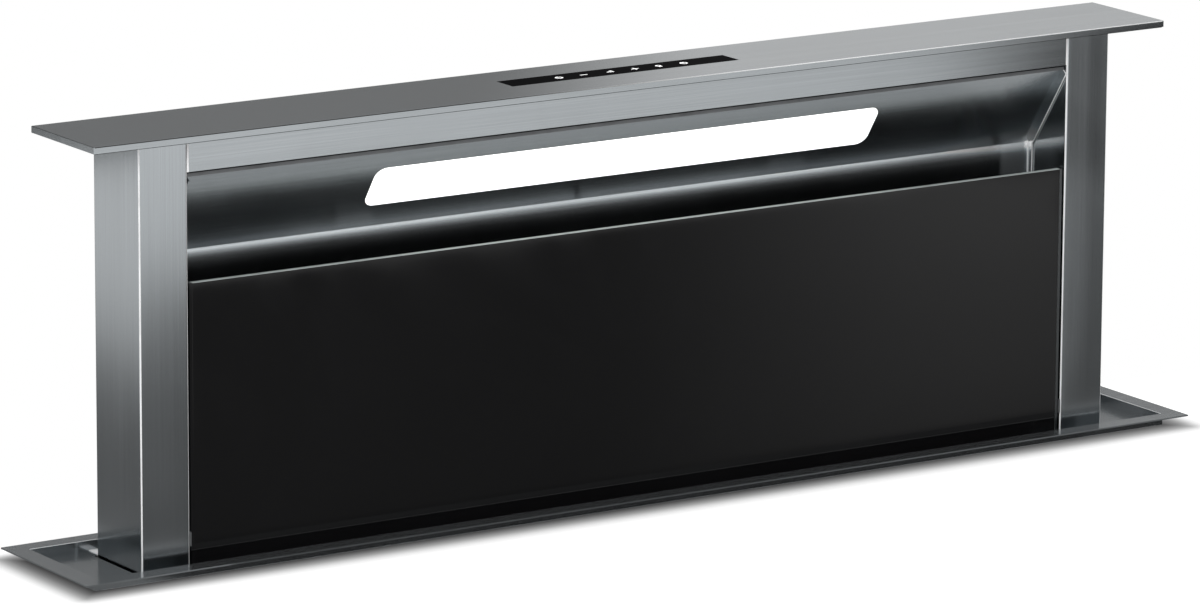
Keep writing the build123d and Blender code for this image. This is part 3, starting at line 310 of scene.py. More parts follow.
def paintedLinerLight(material, levels):
    # painted reflections by height: a painted highlight along the fold and darker painted bands away from it; at the
    # right end of the wall and of the lower slope, painted light stands in for the side flange's reflection
    shader = material.node_tree.nodes["Principled BSDF"].inputs
    x, _, z = splitPlace(material.node_tree)
    low, high = levels["bands"][0][0], levels["bands"][-1][0]
    ramp = addNode(material.node_tree, "ShaderNodeValToRGB", {0: rangeNode(z, low, high)})
    stops = ramp.color_ramp.elements
    for height, share in levels["bands"][1:-1]:
        stops.new((height - low) / (high - low))
    for stop, (height, share) in zip(stops, levels["bands"]):
        stop.color = (share, share, share, 1.0)
    wall = times(easeNode(x, *levels["wallEnd"]), rangeNode(z, *levels["wallTop"], 1.0, 0.0))
    slope = times(easeNode(x, *levels["slopeEnd"], 0.0, levels["slopeGain"]),
                  rangeNode(z, *levels["slopeRise"], 1.0, 0.0))
    gain = plus(plus(times(wall, levels["wallGain"]), slope), 1.0)
    tone = shader["Base Color"].links[0].from_socket
    feedAll(shader, {"Base Color": scaleTint(scaleTint(tone, ramp.outputs[0]), gain),
                     "Metallic": rangeNode(wall, 0.0, 1.0, 1.0, levels["wallMetallic"])})
    return material


def zincSheet(name, colour, scale=110.0, rough=0.42):
    material, shader, place = newMaterial(name)
    cells = useGroup(zincSpangle, place, Scale=scale)
    soft = handled(place, 5.0, 0.7)
    shade = tintNode(toned(colour, 0.82), toned(colour, 1.12), cells["Cells"])
    feedAll(shader, {
        "Base Color": tintNode(shade, toned(colour, 0.7), times(soft, 0.35)),
        "Roughness": rangeNode(cells["Cells"], 0.0, 1.0, rough - 0.08, rough + 0.08),
        "Normal": bumpNode(cells["Edges"], 0.12, 0.0002),
        "Metallic": 1.0,
    })
    return material


def mouldedPlastic(name, colour, rough=0.5, scale=900.0, depth=0.25, dust=0.25):
    material, shader, place = newMaterial(name)
    grain = useGroup(mouldGrain, place, Scale=scale, Depth=depth)
    soft = handled(place, 11.0, dust)
    feedAll(shader, {
        "Base Color": tintNode(colour, toned(colour, 1.25, 0.012), soft),
        "Roughness": rangeNode(grain["Grain"], 0.3, 0.7, rough - 0.06, rough + 0.06),
        "Normal": grain["Normal"],
    })
    return material


def castMetal(name, colour, rough=0.5, scale=500.0, metallic=1.0):
    material, shader, place = newMaterial(name)
    soft = handled(place, 18.0, 0.6)
    feedAll(shader, {
        "Base Color": tintNode(colour, toned(colour, 0.75), soft),
        "Roughness": rangeNode(soft, 0.0, 1.0, rough - 0.05, rough + 0.12),
        "Normal": useGroup(mouldGrain, place, Scale=scale, Depth=0.4)["Normal"],
        "Metallic": metallic,
    })
    return material


def edgeFinishAndPaintedLight(name, colour, metallic, rough=0.35):
    # an edge finish with worn patches: near white it is a painted highlight along an edge, dark it is painted shade,
    # and on the glass it is the ground edge that scatters light
    material, shader, place = newMaterial(name)
    worn = handled(place, 40.0, 1.0)
    feedAll(shader, {"Base Color": tintNode(colour, toned(colour, 0.8), worn),
                     "Roughness": rangeNode(worn, 0.0, 1.0, rough, rough + 0.1), "Metallic": metallic})
    return material


def fadingHighlight(name, low, high, start, end):
    # a painted highlight on an edge, dark at one end and growing light along the part
    material, shader, place = newMaterial(name)
    along = splitPlace(material.node_tree)[0]
    worn = handled(place, 40.0, 1.0)
    feedAll(shader, {"Base Color": tintNode(low, high, easeNode(along, start, end)),
                     "Roughness": rangeNode(worn, 0.0, 1.0, 0.3, 0.4), "Metallic": 0.35})
    return material


def blackGlass(name, colour, rough, mirror=0.5):
    material, shader, place = newMaterial(name)
    soft = handled(place, 6.0, 1.0)
    feedAll(shader, {"Base Color": tintNode(colour, toned(colour, 1.2), soft),
                     "Roughness": rangeNode(soft, 0.0, 1.0, rough, rough + 0.05),
                     "Specular IOR Level": mirror, "IOR": 1.5})
    return material


def litDiffuser(name, strength):
    material, shader, place = newMaterial(name)
    grain = useGroup(mouldGrain, place, Scale=600.0, Depth=0.1)["Grain"]
    feedAll(shader, {"Base Color": (0.9, 0.9, 0.88), "Roughness": rangeNode(grain, 0.0, 1.0, 0.3, 0.4),
                     "Emission Color": (1.0, 1.0, 0.985), "Emission Strength": strength})
    return material


def coat(finish, *names):
    # gives a finish to nodes that keep their own shape
    for name in names:
        for holder in nodes[name].material_slots:
            holder.material = finish
    return finish


steelTint = (0.390, 0.415, 0.430)
zincTint = (0.50, 0.52, 0.54)
alongX = (5.0, 1100.0, 1100.0)      # brush lines, long along one axis
alongY = (1100.0, 5.0, 1100.0)
alongZ = (1100.0, 1100.0, 5.0)
everyWay = (300.0, 300.0, 300.0)
coarseX = (9.0, 480.0, 480.0)

steelCap = coat(brushedSteel("steelCap", steelTint, alongX, rough=0.17, depth=0.3, smear=0.4), "top_cap")
steelFlange = coat(brushedSteel("steelFlange", steelTint, alongX, rough=0.16, depth=0.12, smear=0.3, metallic=0.93),
                   "trim_frame")
steelUpright = coat(brushedSteel("steelBrushedUpright", steelTint, alongZ, rough=0.15, smear=0.3),
                    "left_column", "right_column", "rear_cover")
coat(brushedSteel("steelBrushedAlong", steelTint, alongX, rough=0.15, smear=0.4),
     "front_rail", "filter_rails", "glass_support")
steelLiner = coat(paintedLinerLight(brushedSteel("steelLiner", (0.75, 0.80, 0.83), coarseX, rough=0.19, depth=0.6,
                                            smear=0.5), linerPaintedLight), "back_liner")
steelTrim = coat(brushedSteel("steelTrim", (0.17, 0.18, 0.185), alongZ, rough=0.25), "glass_trims")
coat(brushedSteel("steelTurned", (0.46, 0.46, 0.47), alongX, rough=0.22), "cross_shaft")
coat(brushedSteel("steelCut", (0.42, 0.42, 0.44), alongY, rough=0.3),
     "rack_left", "rack_right", "fan_shaft", "damper_pin", "glass_hooks")
steelScrew = brushedSteel("steelScrew", (0.55, 0.55, 0.56), everyWay, rough=0.28, depth=0.1, smear=0.0)
# near white: a painted highlight for the rounded edges, the beads and the guide clips
paintedHighlight = coat(edgeFinishAndPaintedLight("paintedHighlight", (0.98, 0.985, 0.99), 0.15), "guide_clips")
# dark satin for the glass fittings; on the liner's lip in the slit it is painted shade
darkSatinAndShade = coat(edgeFinishAndPaintedLight("darkSatinAndShade", (0.13, 0.135, 0.14), 0.35), "glass_fittings")
# the cap's edge highlight is painted: dark on the left, light on the right
capEdgeHighlight = fadingHighlight("capEdgeHighlight", (0.02, 0.021, 0.022), (0.95, 0.96, 0.97), -0.15, 0.15)
# near black: a painted shadow line under the cap's front edge
slitShadow = mouldedPlastic("slitShadow", (0.006, 0.006, 0.006), 0.7)

coat(zincSheet("zincSheet", zincTint), "rear_panel", "front_panel", "side_panel_left", "side_panel_right",
     "bottom_panel", "foot_bracket_left", "foot_bracket_right", "blower_box", "blower_cover", "lower_crossbeam",
     "cap_tray")
coat(zincSheet("zincStrip", zincTint, 260.0, 0.36), "fan_wheel", "fan_blades")
coat(brushedSteel("aluminiumSheet", (0.68, 0.68, 0.69), alongX, rough=0.32, tone=0.05),
     "led_tray", "damper_flap_front", "damper_flap_back")
coat(brushedSteel("aluminiumProfile", (0.62, 0.62, 0.63), alongZ, rough=0.3, tone=0.04),
     "guide_rail_left", "guide_rail_right")
aluminiumFilter = coat(brushedSteel("aluminiumFilter", (0.27, 0.275, 0.28), alongX, rough=0.42),
                       "grease_filter_left", "grease_filter_right")
coat(castMetal("castAluminium", (0.42, 0.42, 0.43), 0.48), "lift_gearbox")
coat(brushedSteel("motorCan", (0.34, 0.35, 0.37), alongX, rough=0.28, tone=0.05), "lift_motor")
coat(castMetal("motorEnamel", (0.03, 0.03, 0.032), 0.38, 300.0, 0.0), "blower_motor")

coat(mouldedPlastic("scrollPlastic", (0.11, 0.115, 0.12), 0.48, 500.0),
     "volute", "volute_lid", "outlet_duct", "outlet_collar")
caseBlack = coat(mouldedPlastic("caseBlack", (0.028, 0.028, 0.03), 0.46),
                 "control_cover", "electronics_box", "electronics_lid", "mains_gland")
coat(mouldedPlastic("nylonWhite", (0.72, 0.71, 0.67), 0.42, 1200.0, 0.15, 0.3), "slide_shoes", "bearing_blocks")
coat(mouldedPlastic("acetalNatural", (0.80, 0.79, 0.75), 0.34, 1200.0, 0.1, 0.2), "pinion_left", "pinion_right")
coat(mouldedPlastic("sealRubber", (0.025, 0.025, 0.025), 0.75, 1400.0, 0.6, 0.4), "frame_seal", "cap_seal")
coat(mouldedPlastic("boardGreen", (0.02, 0.12, 0.05), 0.35, 400.0), "control_board")
coat(mouldedPlastic("boardWhite", (0.76, 0.76, 0.74), 0.3, 400.0, 0.1), "led_board")
markInkGlow = mouldedPlastic("markInkGlow", (0.86, 0.86, 0.86), 0.4, 900.0, 0.05, 0.05)
# the printed marks are given a painted glow
feedAll(markInkGlow.node_tree.nodes["Principled BSDF"].inputs,
        {"Emission Color": (1.0, 1.0, 1.0), "Emission Strength": 0.8})
glassFront = coat(blackGlass("glassFront", (0.0045, 0.0045, 0.0048), 0.035), "front_glass")
glassTouch = coat(blackGlass("glassTouch", (0.006, 0.006, 0.0065), 0.10, 0.0002), "control_glass")
glassEdge = edgeFinishAndPaintedLight("glassEdge", (0.42, 0.46, 0.45), 0.0)
coat(litDiffuser("lightField", 1.25), "led_diffuser")
print("materials and finishes set")


# pieces drawn from the frame
def mergedCopy(name):
    # a bmesh of a node's own shape, its loose triangles joined and its flat faces made whole
    bm = bmesh.new()
    bm.from_mesh(nodes[name].data)
    bmesh.ops.remove_doubles(bm, verts=bm.verts, dist=1e-6)
    bmesh.ops.dissolve_limit(bm, angle_limit=math.radians(0.5), verts=bm.verts, edges=bm.edges)
    bm.normal_update()
    return bm


def addEdgedCopy(node, piece, body, faceFinish, edgeHighlight, flat=0.88):
    # the node's shape with the faces of its rounded edges in a finish of their own, a painted highlight along the
    # edges
    bm = mergedCopy(node)
    for face in bm.faces:
        face.smooth = True
        face.material_index = 0 if max(abs(part) for part in face.normal) > flat else 1
    for edge in bm.edges:
        if len(edge.link_faces) == 2:
            first, second = edge.link_faces
            edge.smooth = first.material_index == second.material_index == 1
    settle(meshFromBmesh(piece, bm, faceFinish, edgeHighlight), body, node)


addEdgedCopy("left_column", "columnLeft", "tower", steelUpright, paintedHighlight)
addEdgedCopy("right_column", "columnRight", "tower", steelUpright, paintedHighlight)
addEdgedCopy("top_cap", "capPlate", "tower", steelCap, capEdgeHighlight)
addEdgedCopy("trim_frame", "frameFlange", "housing", steelFlange, paintedHighlight)

linerSizes = {"sheet": 0.002, "lipLow": 0.8688}


def addLinerSheet(sizes):
    # the liner with a painted highlight on the cut edge of its right flange, and painted shade on its lip in the
    # slit
    bm = mergedCopy("back_liner")
    for face in bm.faces:
        across = [vert.co.x for vert in face.verts]
        if max(across) - min(across) < sizes["sheet"] and abs(face.normal.x) < 0.1 and face.loops[0].vert.co.x > 0:
            face.material_index = 1
        elif min(vert.co.z for vert in face.verts) > sizes["lipLow"] and face.normal.y < 0.5:
            face.material_index = 2
    settle(meshFromBmesh("linerSheet", bm, steelLiner, paintedHighlight, darkSatinAndShade), "tower", "back_liner")


addLinerSheet(linerSizes)

paneSizes = {"arris": 0.0003}


def addFrontPane(sizes):
    # the ground top edge catches light; the left edge lies dark in its gap
    bm = bmesh.new()
    addBox(bm, *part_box("front_glass"))
    bevelEdges(bm, bm.edges, sizes["arris"])
    bm.normal_update()
    for face in bm.faces:
        face.material_index = 0 if abs(face.normal.y) > 0.9 or face.normal.x < -0.5 else 1
    settle(meshFromBmesh("frontPane", bm, glassFront, glassEdge), "glass", "front_glass")


def addGlassTrims():
    # the trims' steel shows at the right end only; at the left the glass's black border covers them
    bm = mergedCopy("glass_trims")
    for face in bm.faces:
        face.material_index = 0 if face.calc_center_median().x > 0 else 1
    settle(meshFromBmesh("glassTrims", bm, steelTrim, glassFront), "glass", "glass_trims")


addFrontPane(paneSizes)
addGlassTrims()

seamSizes = {
    "line": 0.00055, "lift": 0.00006, "lip": 0.0005, "capInset": 0.001, "capDrop": 0.0002,
    "bead": 0.0015, "beadDrop": 0.0001,
    "fold": 0.0008, "foldX": 0.3695, "foldY": 0.0897, "foldLow": 0.60, "foldHigh": 0.8080,
}


def addStrips(name, finish, *strips):
    # thin beads laid on a face or in a corner
    bm = bmesh.new()
    for low, high in strips:
        earlier = set(bm.edges)
        addBox(bm, low, high)
        ownEdges = [edge for edge in bm.edges if edge not in earlier]
        bevelEdges(bm, ownEdges, min(b - a for a, b in zip(low, high)) * 0.3)
    settle(meshFromBmesh(name, bm, finish), "tower")


def addSeams(sizes):
    # painted highlight lines on the cap's top edge, between column and rail and at the bends of the liner's side
    # flanges, and a painted shadow line under the cap's front edge
    capLow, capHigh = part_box("top_cap")
    railLow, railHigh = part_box("front_rail")
    face, lift, lip, fold = capLow.y, sizes["lift"], sizes["lip"], sizes["fold"]
    left, right = capLow.x + sizes["capInset"], capHigh.x - sizes["capInset"]
    head = capHigh.z - sizes["capDrop"]
    addStrips("capHighlightLine", capEdgeHighlight, ((left, face - lift, head - sizes["line"]), (right, face + lift, head)))
    addStrips("capShadowLine", slitShadow, ((left, face + lip, capLow.z - lip), (right, face + 3 * lip, capLow.z)))
    beads = []
    for side in (-1, 1):
        start = side * railHigh.x - sizes["bead"] / 2
        beads.append(((start, railLow.y - lift, railLow.z),
                      (start + sizes["bead"], railLow.y + lift, railHigh.z - sizes["beadDrop"])))
        near, far = sorted((side * sizes["foldX"], side * (sizes["foldX"] - fold)))
        beads.append(((near, sizes["foldY"] - fold, sizes["foldLow"]), (far, sizes["foldY"], sizes["foldHigh"])))
    addStrips("highlightBeads", paintedHighlight, *beads)


addSeams(seamSizes)
print("panes and edges built")


touchSizes = {
    "arris": 0.0003, "drop": 0.00012, "corner": 0.0012,
    "markPlaces": (-0.0502, -0.0295, -0.0075, 0.0137, 0.0341, 0.0553),
    "markBack": 0.0003,     # marks lie this far behind the strip's middle
    "markOut": 0.0030, "markLine": 0.0011, "markHeight": 0.00006, "markSunk": 0.00002,
    "markStep": 0.00001,    # keeps the two bars of the plus sign apart
}


def addTouchStrip(sizes):
    low, high = (Vector(corner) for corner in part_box("control_glass"))
    high.z -= sizes["drop"]
    bm = bmesh.new()
    addBox(bm, low, high)
    bevelEdges(bm, [edge for edge in bm.edges if edge.verts[0].co.xy == edge.verts[1].co.xy], sizes["corner"], 4)
    bm.normal_update()
    rim = [edge for edge in bm.edges if any(face.normal.z > 0.9 for face in edge.link_faces)]
    bevelEdges(bm, rim, sizes["arris"])
    settle(meshFromBmesh("touchStrip", bm, glassTouch), "tower", "control_glass")
    return (low.y + high.y) / 2, high.z


def addRing(bm, centre, outer, line, base, top, start=0.0, sweep=360.0, steps=24):
    # a flat ring, or a part of one, raised a little from the strip; angles in degrees
    closed = sweep == 360.0
    count = steps if closed else steps + 1
    turns = [math.radians(start) + math.radians(sweep) * i / steps for i in range(count)]
    inner = outer - line
    rings = [[bm.verts.new((centre[0] + radius * math.cos(turn), centre[1] + radius * math.sin(turn), z))
              for turn in turns]
             for radius, z in ((outer, base), (outer, top), (inner, top), (inner, base))]
    for a, b in zip(rings, rings[1:] + rings[:1]):
        for i in range(steps):
            j = (i + 1) % count
            bm.faces.new((a[i], a[j], b[j], b[i]))
    if not closed:
        bm.faces.new([ring[0] for ring in rings])
        bm.faces.new([ring[-1] for ring in reversed(rings)])


def addBar(bm, centre, length, width, base, top, upright=False):
    x, y = (width / 2, length / 2) if upright else (length / 2, width / 2)
    addBox(bm, (centre[0] - x, centre[1] - y, base), (centre[0] + x, centre[1] + y, top))


def addMarks(sizes, rowY, level):
    # six plain printed signs: on-off, minus, speed bars, plus, lamp and timer
    bm = bmesh.new()
    out, line = sizes["markOut"], sizes["markLine"]
    base, top = level - sizes["markSunk"], level + sizes["markHeight"]
    power, minusSign, bars, plusSign, lamp, timer = ((x, rowY) for x in sizes["markPlaces"])
    addRing(bm, power, out, line, base, top, 120.0, 300.0)
    addBar(bm, (power[0], rowY + out * 0.6), out, line, base, top, True)
    addBar(bm, minusSign, 2 * out, line, base, top)
    for step in (-1, 0, 1):
        addBar(bm, (bars[0] + step * out * 0.7, rowY + step * line * 0.6), out * (1.2 + 0.6 * step), line, base, top,
               True)
    addBar(bm, plusSign, 2 * out, line, base, top)
    addBar(bm, plusSign, 2 * out, line, base, top + sizes["markStep"], True)
    addRing(bm, (lamp[0], rowY + out * 0.25), out * 0.75, line, base, top)
    addBar(bm, (lamp[0], rowY - out * 0.8), out, line, base, top)
    addRing(bm, timer, out, line, base, top)
    addBar(bm, (timer[0], rowY + out * 0.3), out * 0.6, line, base, top, True)
    bmesh.ops.recalc_face_normals(bm, faces=bm.faces)
    settle(meshFromBmesh("touchMarks", bm, markInkGlow), "tower")


stripY, stripTop = addTouchStrip(touchSizes)
addMarks(touchSizes, stripY + touchSizes["markBack"], stripTop)
print("touch strip built")


# geometry-node trees
def newGeometryTree(name, **inputs):
    tree, entry, leave = newTree(name, "Geometry", {"Geometry": "Geometry", **inputs, "Material": "Material"},
                                 {"Geometry": "Geometry"})
    tree.is_modifier = True
    return tree, entry, leave


def cylinderNode(tree, sides, radius, depth):
    return addNode(tree, "GeometryNodeMeshCylinder", {"Vertices": sides, "Radius": radius, "Depth": depth}).outputs


def liftNode(geometry, height):
    place = addNode(height.id_data, "ShaderNodeCombineXYZ", {"Z": height}).outputs[0]
    return addNode(height.id_data, "GeometryNodeTransform", {"Geometry": geometry, "Translation": place}).outputs[0]


def drawTop(geometry, selection, offset, share):
    # pulls a face out and scales it
    tree = geometry.id_data
    drawn = addNode(tree, "GeometryNodeExtrudeMesh",
                    {"Mesh": geometry, "Selection": selection, "Offset Scale": offset}).outputs
    scaled = addNode(tree, "GeometryNodeScaleElements",
                     {"Geometry": drawn["Mesh"], "Selection": drawn["Top"], "Scale": share})
    return scaled.outputs[0], drawn["Top"]


def finishNodes(entry, leave, geometry):
    tree = geometry.id_data
    real = addNode(tree, "GeometryNodeRealizeInstances", {0: geometry}).outputs[0]
    feed(addNode(tree, "GeometryNodeSetMaterial", {"Geometry": real, "Material": entry["Material"]}).outputs[0],
         leave[0])


def placeOnPoints(entry, leave, shape, seed=3):
    # copies on every vertex, each standing along its facing and turned a little at random
    tree = shape.id_data
    facing = addNode(tree, "GeometryNodeInputNamedAttribute", {"Name": "facing"}, data_type="FLOAT_VECTOR")
    align = addNode(tree, "FunctionNodeAlignRotationToVector", {"Vector": facing.outputs["Attribute"]}, axis="Z")
    chance = addNode(tree, "FunctionNodeRandomValue", {"Seed": seed}, data_type="FLOAT")
    low, high = (socket for socket in chance.inputs if socket.name in ("Min", "Max") and socket.type == "VALUE")
    feed(0.0, low)
    feed(entry["Spin"], high)
    turn = next(socket for socket in chance.outputs if socket.type == "VALUE")
    angles = addNode(tree, "ShaderNodeCombineXYZ", {"Z": turn}).outputs[0]
    turned = addNode(tree, "FunctionNodeRotateRotation", {0: align.outputs[0], 1: angles}, rotation_space="LOCAL")
    placed = addNode(tree, "GeometryNodeInstanceOnPoints",
                     {"Points": entry["Geometry"], "Instance": shape, "Rotation": turned.outputs[0]})
    finishNodes(entry, leave, placed.outputs[0])


def makeScrewTree():
    # pan head with a domed top and a round drive recess
    tree, entry, leave = newGeometryTree("screwHeads", **{
        "Head Radius": 0.0035, "Head Height": 0.0012, "Recess Depth": 0.0008, "Spin": 6.28})
    height = entry["Head Height"]
    head = cylinderNode(tree, 20, entry["Head Radius"], height)
    mesh = liftNode(head["Mesh"], times(height, 0.5))
    mesh, top = drawTop(mesh, head["Top"], times(height, 0.45), 0.72)
    mesh, top = drawTop(mesh, top, 0.0, 0.58)
    mesh, top = drawTop(mesh, top, times(entry["Recess Depth"], -1.0), 0.75)
    placeOnPoints(entry, leave, mesh)
    return tree


def makeBoltTree():
    # hexagon head on a round washer
    tree, entry, leave = newGeometryTree("hexBolts", **{
        "Head Radius": 0.0058, "Head Height": 0.004, "Washer Radius": 0.0075, "Washer Height": 0.0014, "Spin": 6.28})
    height, washerHeight = entry["Head Height"], entry["Washer Height"]
    washer = cylinderNode(tree, 28, entry["Washer Radius"], washerHeight)
    washer = liftNode(washer["Mesh"], times(washerHeight, 0.5))
    head = cylinderNode(tree, 6, entry["Head Radius"], height)
    mesh = liftNode(head["Mesh"], plus(times(height, 0.5), washerHeight))
    mesh, _ = drawTop(mesh, head["Top"], times(height, 0.12), 0.86)
    both = addNode(tree, "GeometryNodeJoinGeometry")
    for part in (washer, mesh):
        feed(part, both.inputs[0])
    placeOnPoints(entry, leave, both.outputs[0])
    return tree


def makeLouvreTree():
    # raised slots in a row: a long half-round hood, closed at both ends
    tree, entry, leave = newGeometryTree("louvreRow", Length=0.04, Radius=0.0016, Spin=0.0)
    hood = cylinderNode(tree, 16, entry["Radius"], entry["Length"])
    mesh = hood["Mesh"]
    for end in ("Top", "Bottom"):
        mesh, _ = drawTop(mesh, hood[end], entry["Radius"], 0.45)
    laid = addNode(tree, "GeometryNodeTransform", {"Geometry": mesh, "Rotation": (0.0, math.pi / 2, 0.0)})
    placeOnPoints(entry, leave, laid.outputs[0])
    return tree


def makeStrandTree():
    # one flat strand laid along every edge of a net
    tree, entry, leave = newGeometryTree("expandedMesh", **{"Strand Width": 0.001, "Strand Depth": 0.001})
    line = addNode(tree, "GeometryNodeMeshToCurve", {"Mesh": entry["Geometry"]}).outputs[0]
    profile = addNode(tree, "GeometryNodeCurvePrimitiveQuadrilateral",
                      {"Width": entry["Strand Width"], "Height": entry["Strand Depth"]}).outputs[0]
    swept = addNode(tree, "GeometryNodeCurveToMesh", {"Curve": line, "Profile Curve": profile, "Fill Caps": True})
    finishNodes(entry, leave, swept.outputs[0])
    return tree


def meshFromTree(name, tree, values, points, edges=(), facing=()):
    # runs the tree on its points and keeps the result as a plain mesh
    base = bpy.data.meshes.new(name + "Points")
    base.from_pydata([tuple(point) for point in points], list(edges), [])
    if facing:
        ways = base.attributes.new("facing", "FLOAT_VECTOR", "POINT").data
        for way, direction in zip(ways, facing):
            way.vector = direction
    holder = linkMesh(name, base)
    modifier = holder.modifiers.new("tree", "NODES")
    modifier.node_group = tree
    for item in tree.interface.items_tree:
        if item.name in values:
            modifier[item.identifier] = values[item.name]
    depsgraph = bpy.context.evaluated_depsgraph_get()
    mesh = bpy.data.meshes.new_from_object(holder.evaluated_get(depsgraph), depsgraph=depsgraph)
    holder.modifiers.remove(modifier)
    holder.data = mesh
    bpy.data.meshes.remove(base)
    mesh.name = name
    if "facing" in mesh.attributes:
        mesh.attributes.remove(mesh.attributes["facing"])
    for polygon in mesh.polygons:
        polygon.use_smooth = True
    mesh.set_sharp_from_angle(angle=math.radians(35))
    return holder


screwTree, boltTree, louvreTree, strandTree = makeScrewTree(), makeBoltTree(), makeLouvreTree(), makeStrandTree()
print("geometry trees built")


# screws, bolts and louvres; a spot is a place and the direction that it faces
screwSizes = {
    "coverInset": 0.012, "coverFace": 0.0012, "coverAcross": 5, "coverUp": 4,
    "panelInset": 0.007, "panelTop": 0.030, "panelUp": 6, "panelAcross": 7, "footInset": 0.006,
    "lidInset": 0.010, "rearInset": 0.008, "rearUp": 5, "rearTop": 0.020, "gearInset": 0.006,
}
housingScrew = {"Head Radius": 0.0036, "Head Height": 0.0010, "Material": steelScrew}
towerScrew = {"Head Radius": 0.0028, "Head Height": 0.0007, "Recess Depth": 0.0005, "Material": steelScrew}
boltSizes = {"shares": (0.25, 0.75)}     # places along the side panel's depth
louvreSizes = {"inset": 0.050, "pitch": 0.008, "count": 9, "length": 0.044, "radius": 0.0014}


def spread(low, high, count):
    return [low + (high - low) * i / (count - 1) for i in range(count)]


def inside(low, high, inset):
    return low + inset, high - inset


def housingScrewSpots(sizes):
    ahead, behind = (0, -1, 0), (0, 1, 0)
    low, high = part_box("blower_cover")
    face = high.y - sizes["coverFace"]
    sides = inside(low.x, high.x, sizes["coverInset"])
    ends = inside(low.z, high.z, sizes["coverInset"])
    spots = [((x, face, z), ahead) for x in spread(*sides, sizes["coverAcross"]) for z in ends]
    spots += [((x, face, z), ahead) for z in spread(*ends, sizes["coverUp"])[1:-1] for x in sides]
    low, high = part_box("rear_panel")
    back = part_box("side_panel_left")[1].y
    rows = spread(*inside(low.z, high.z, sizes["panelTop"]), sizes["panelUp"])
    spots += [((x, back, z), behind) for z in rows for x in inside(low.x, high.x, sizes["panelInset"])]
    columns = spread(*inside(low.x, high.x, 2 * sizes["panelTop"]), sizes["panelAcross"])
    spots += [((x, back, low.z + sizes["footInset"]), behind) for x in columns]
    low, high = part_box("electronics_lid")
    return spots + [((x, low.y, z), ahead) for x in inside(low.x, high.x, sizes["lidInset"])
                    for z in inside(low.z, high.z, sizes["lidInset"])]


def towerScrewSpots(sizes):
    low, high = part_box("rear_cover")
    rows = spread(*inside(low.z, high.z, sizes["rearTop"]), sizes["rearUp"])
    spots = [((x, high.y, z), (0, 1, 0)) for z in rows for x in inside(low.x, high.x, sizes["rearInset"])]
    low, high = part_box("lift_gearbox")
    return spots + [((low.x, y, z), (-1, 0, 0)) for y in inside(low.y, high.y, sizes["gearInset"])
                    for z in inside(low.z, high.z, sizes["gearInset"])]


def bracketBoltSpots(sizes):
    spots = []
    for hand, side in (("left", -1), ("right", 1)):
        low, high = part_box("side_panel_" + hand)
        footLow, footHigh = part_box("foot_bracket_" + hand)
        x, z = footLow.x if side < 0 else footHigh.x, (low.z + footHigh.z) / 2
        spots += [((x, low.y + (high.y - low.y) * share, z), (side, 0, 0)) for share in sizes["shares"]]
    return spots


def louvreSpots(sizes):
    low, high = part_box("electronics_lid")
    x, middle = high.x - sizes["inset"], (low.z + high.z) / 2
    return [((x, low.y, middle + (index - (sizes["count"] - 1) / 2) * sizes["pitch"]), (0, -1, 0))
            for index in range(sizes["count"])]


def addFasteners(name, tree, values, spots, body):
    places, facing = zip(*spots)
    settle(meshFromTree(name, tree, values, places, facing=facing), body)


addFasteners("housingScrews", screwTree, housingScrew, housingScrewSpots(screwSizes), "housing")
addFasteners("towerScrews", screwTree, towerScrew, towerScrewSpots(screwSizes), "tower")
addFasteners("bracketBolts", boltTree, {"Material": steelScrew}, bracketBoltSpots(boltSizes), "housing")
addFasteners("lidLouvres", louvreTree,
             {"Length": louvreSizes["length"], "Radius": louvreSizes["radius"], "Material": caseBlack},
             louvreSpots(louvreSizes), "housing")
print("fasteners built")


# expanded mesh in the grease filters
meshSizes = {
    "tilt": 7.5, "footY": 0.061825, "footZ": 0.6185, "height": 0.150, "frame": 0.0085,
    "pitchAcross": 0.0110, "pitchUp": 0.0056, "strand": 0.0011, "depth": 0.0009, "fromMiddle": 0.0030,
}


def filterNet(node, side, sizes):
    # diamonds on one face of a leaning cassette, as points and edges
    low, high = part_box(node)
    tilt = math.radians(sizes["tilt"])
    up = Vector((0, math.sin(tilt), math.cos(tilt)))
    out = Vector((0, -math.cos(tilt), math.sin(tilt))) * side
    stepX, stepUp = sizes["pitchAcross"] / 2, sizes["pitchUp"] / 2
    columns = 2 * int((high.x - low.x - 2 * sizes["frame"]) / sizes["pitchAcross"])
    rows = 2 * int((sizes["height"] - 2 * sizes["frame"]) / sizes["pitchUp"])
    corner = Vector(((low.x + high.x - columns * stepX) / 2, sizes["footY"], sizes["footZ"]))
    corner += up * (sizes["height"] - rows * stepUp) / 2 + out * sizes["fromMiddle"]
    points, edges, numbers = [], [], {}

    def vertex(column, row):
        if (column, row) not in numbers:
            numbers[column, row] = len(points)
            points.append(corner + Vector((column * stepX, 0, 0)) + up * row * stepUp)
        return numbers[column, row]

    for column in range(columns):
        for row in range(rows):
            first = (column + row) % 2
            edges.append((vertex(column, row + first), vertex(column + 1, row + 1 - first)))
    return points, edges


def addFilterMesh(node, piece, sizes):
    points, edges = filterNet(node, 1, sizes)
    backPoints, backEdges = filterNet(node, -1, sizes)
    edges += [(a + len(points), b + len(points)) for a, b in backEdges]
    values = {"Strand Width": sizes["strand"], "Strand Depth": sizes["depth"], "Material": aluminiumFilter}
    settle(meshFromTree(piece, strandTree, values, points + backPoints, edges), "tower")


addFilterMesh("grease_filter_left", "filterMeshLeft", meshSizes)
addFilterMesh("grease_filter_right", "filterMeshRight", meshSizes)
print("filter mesh built")


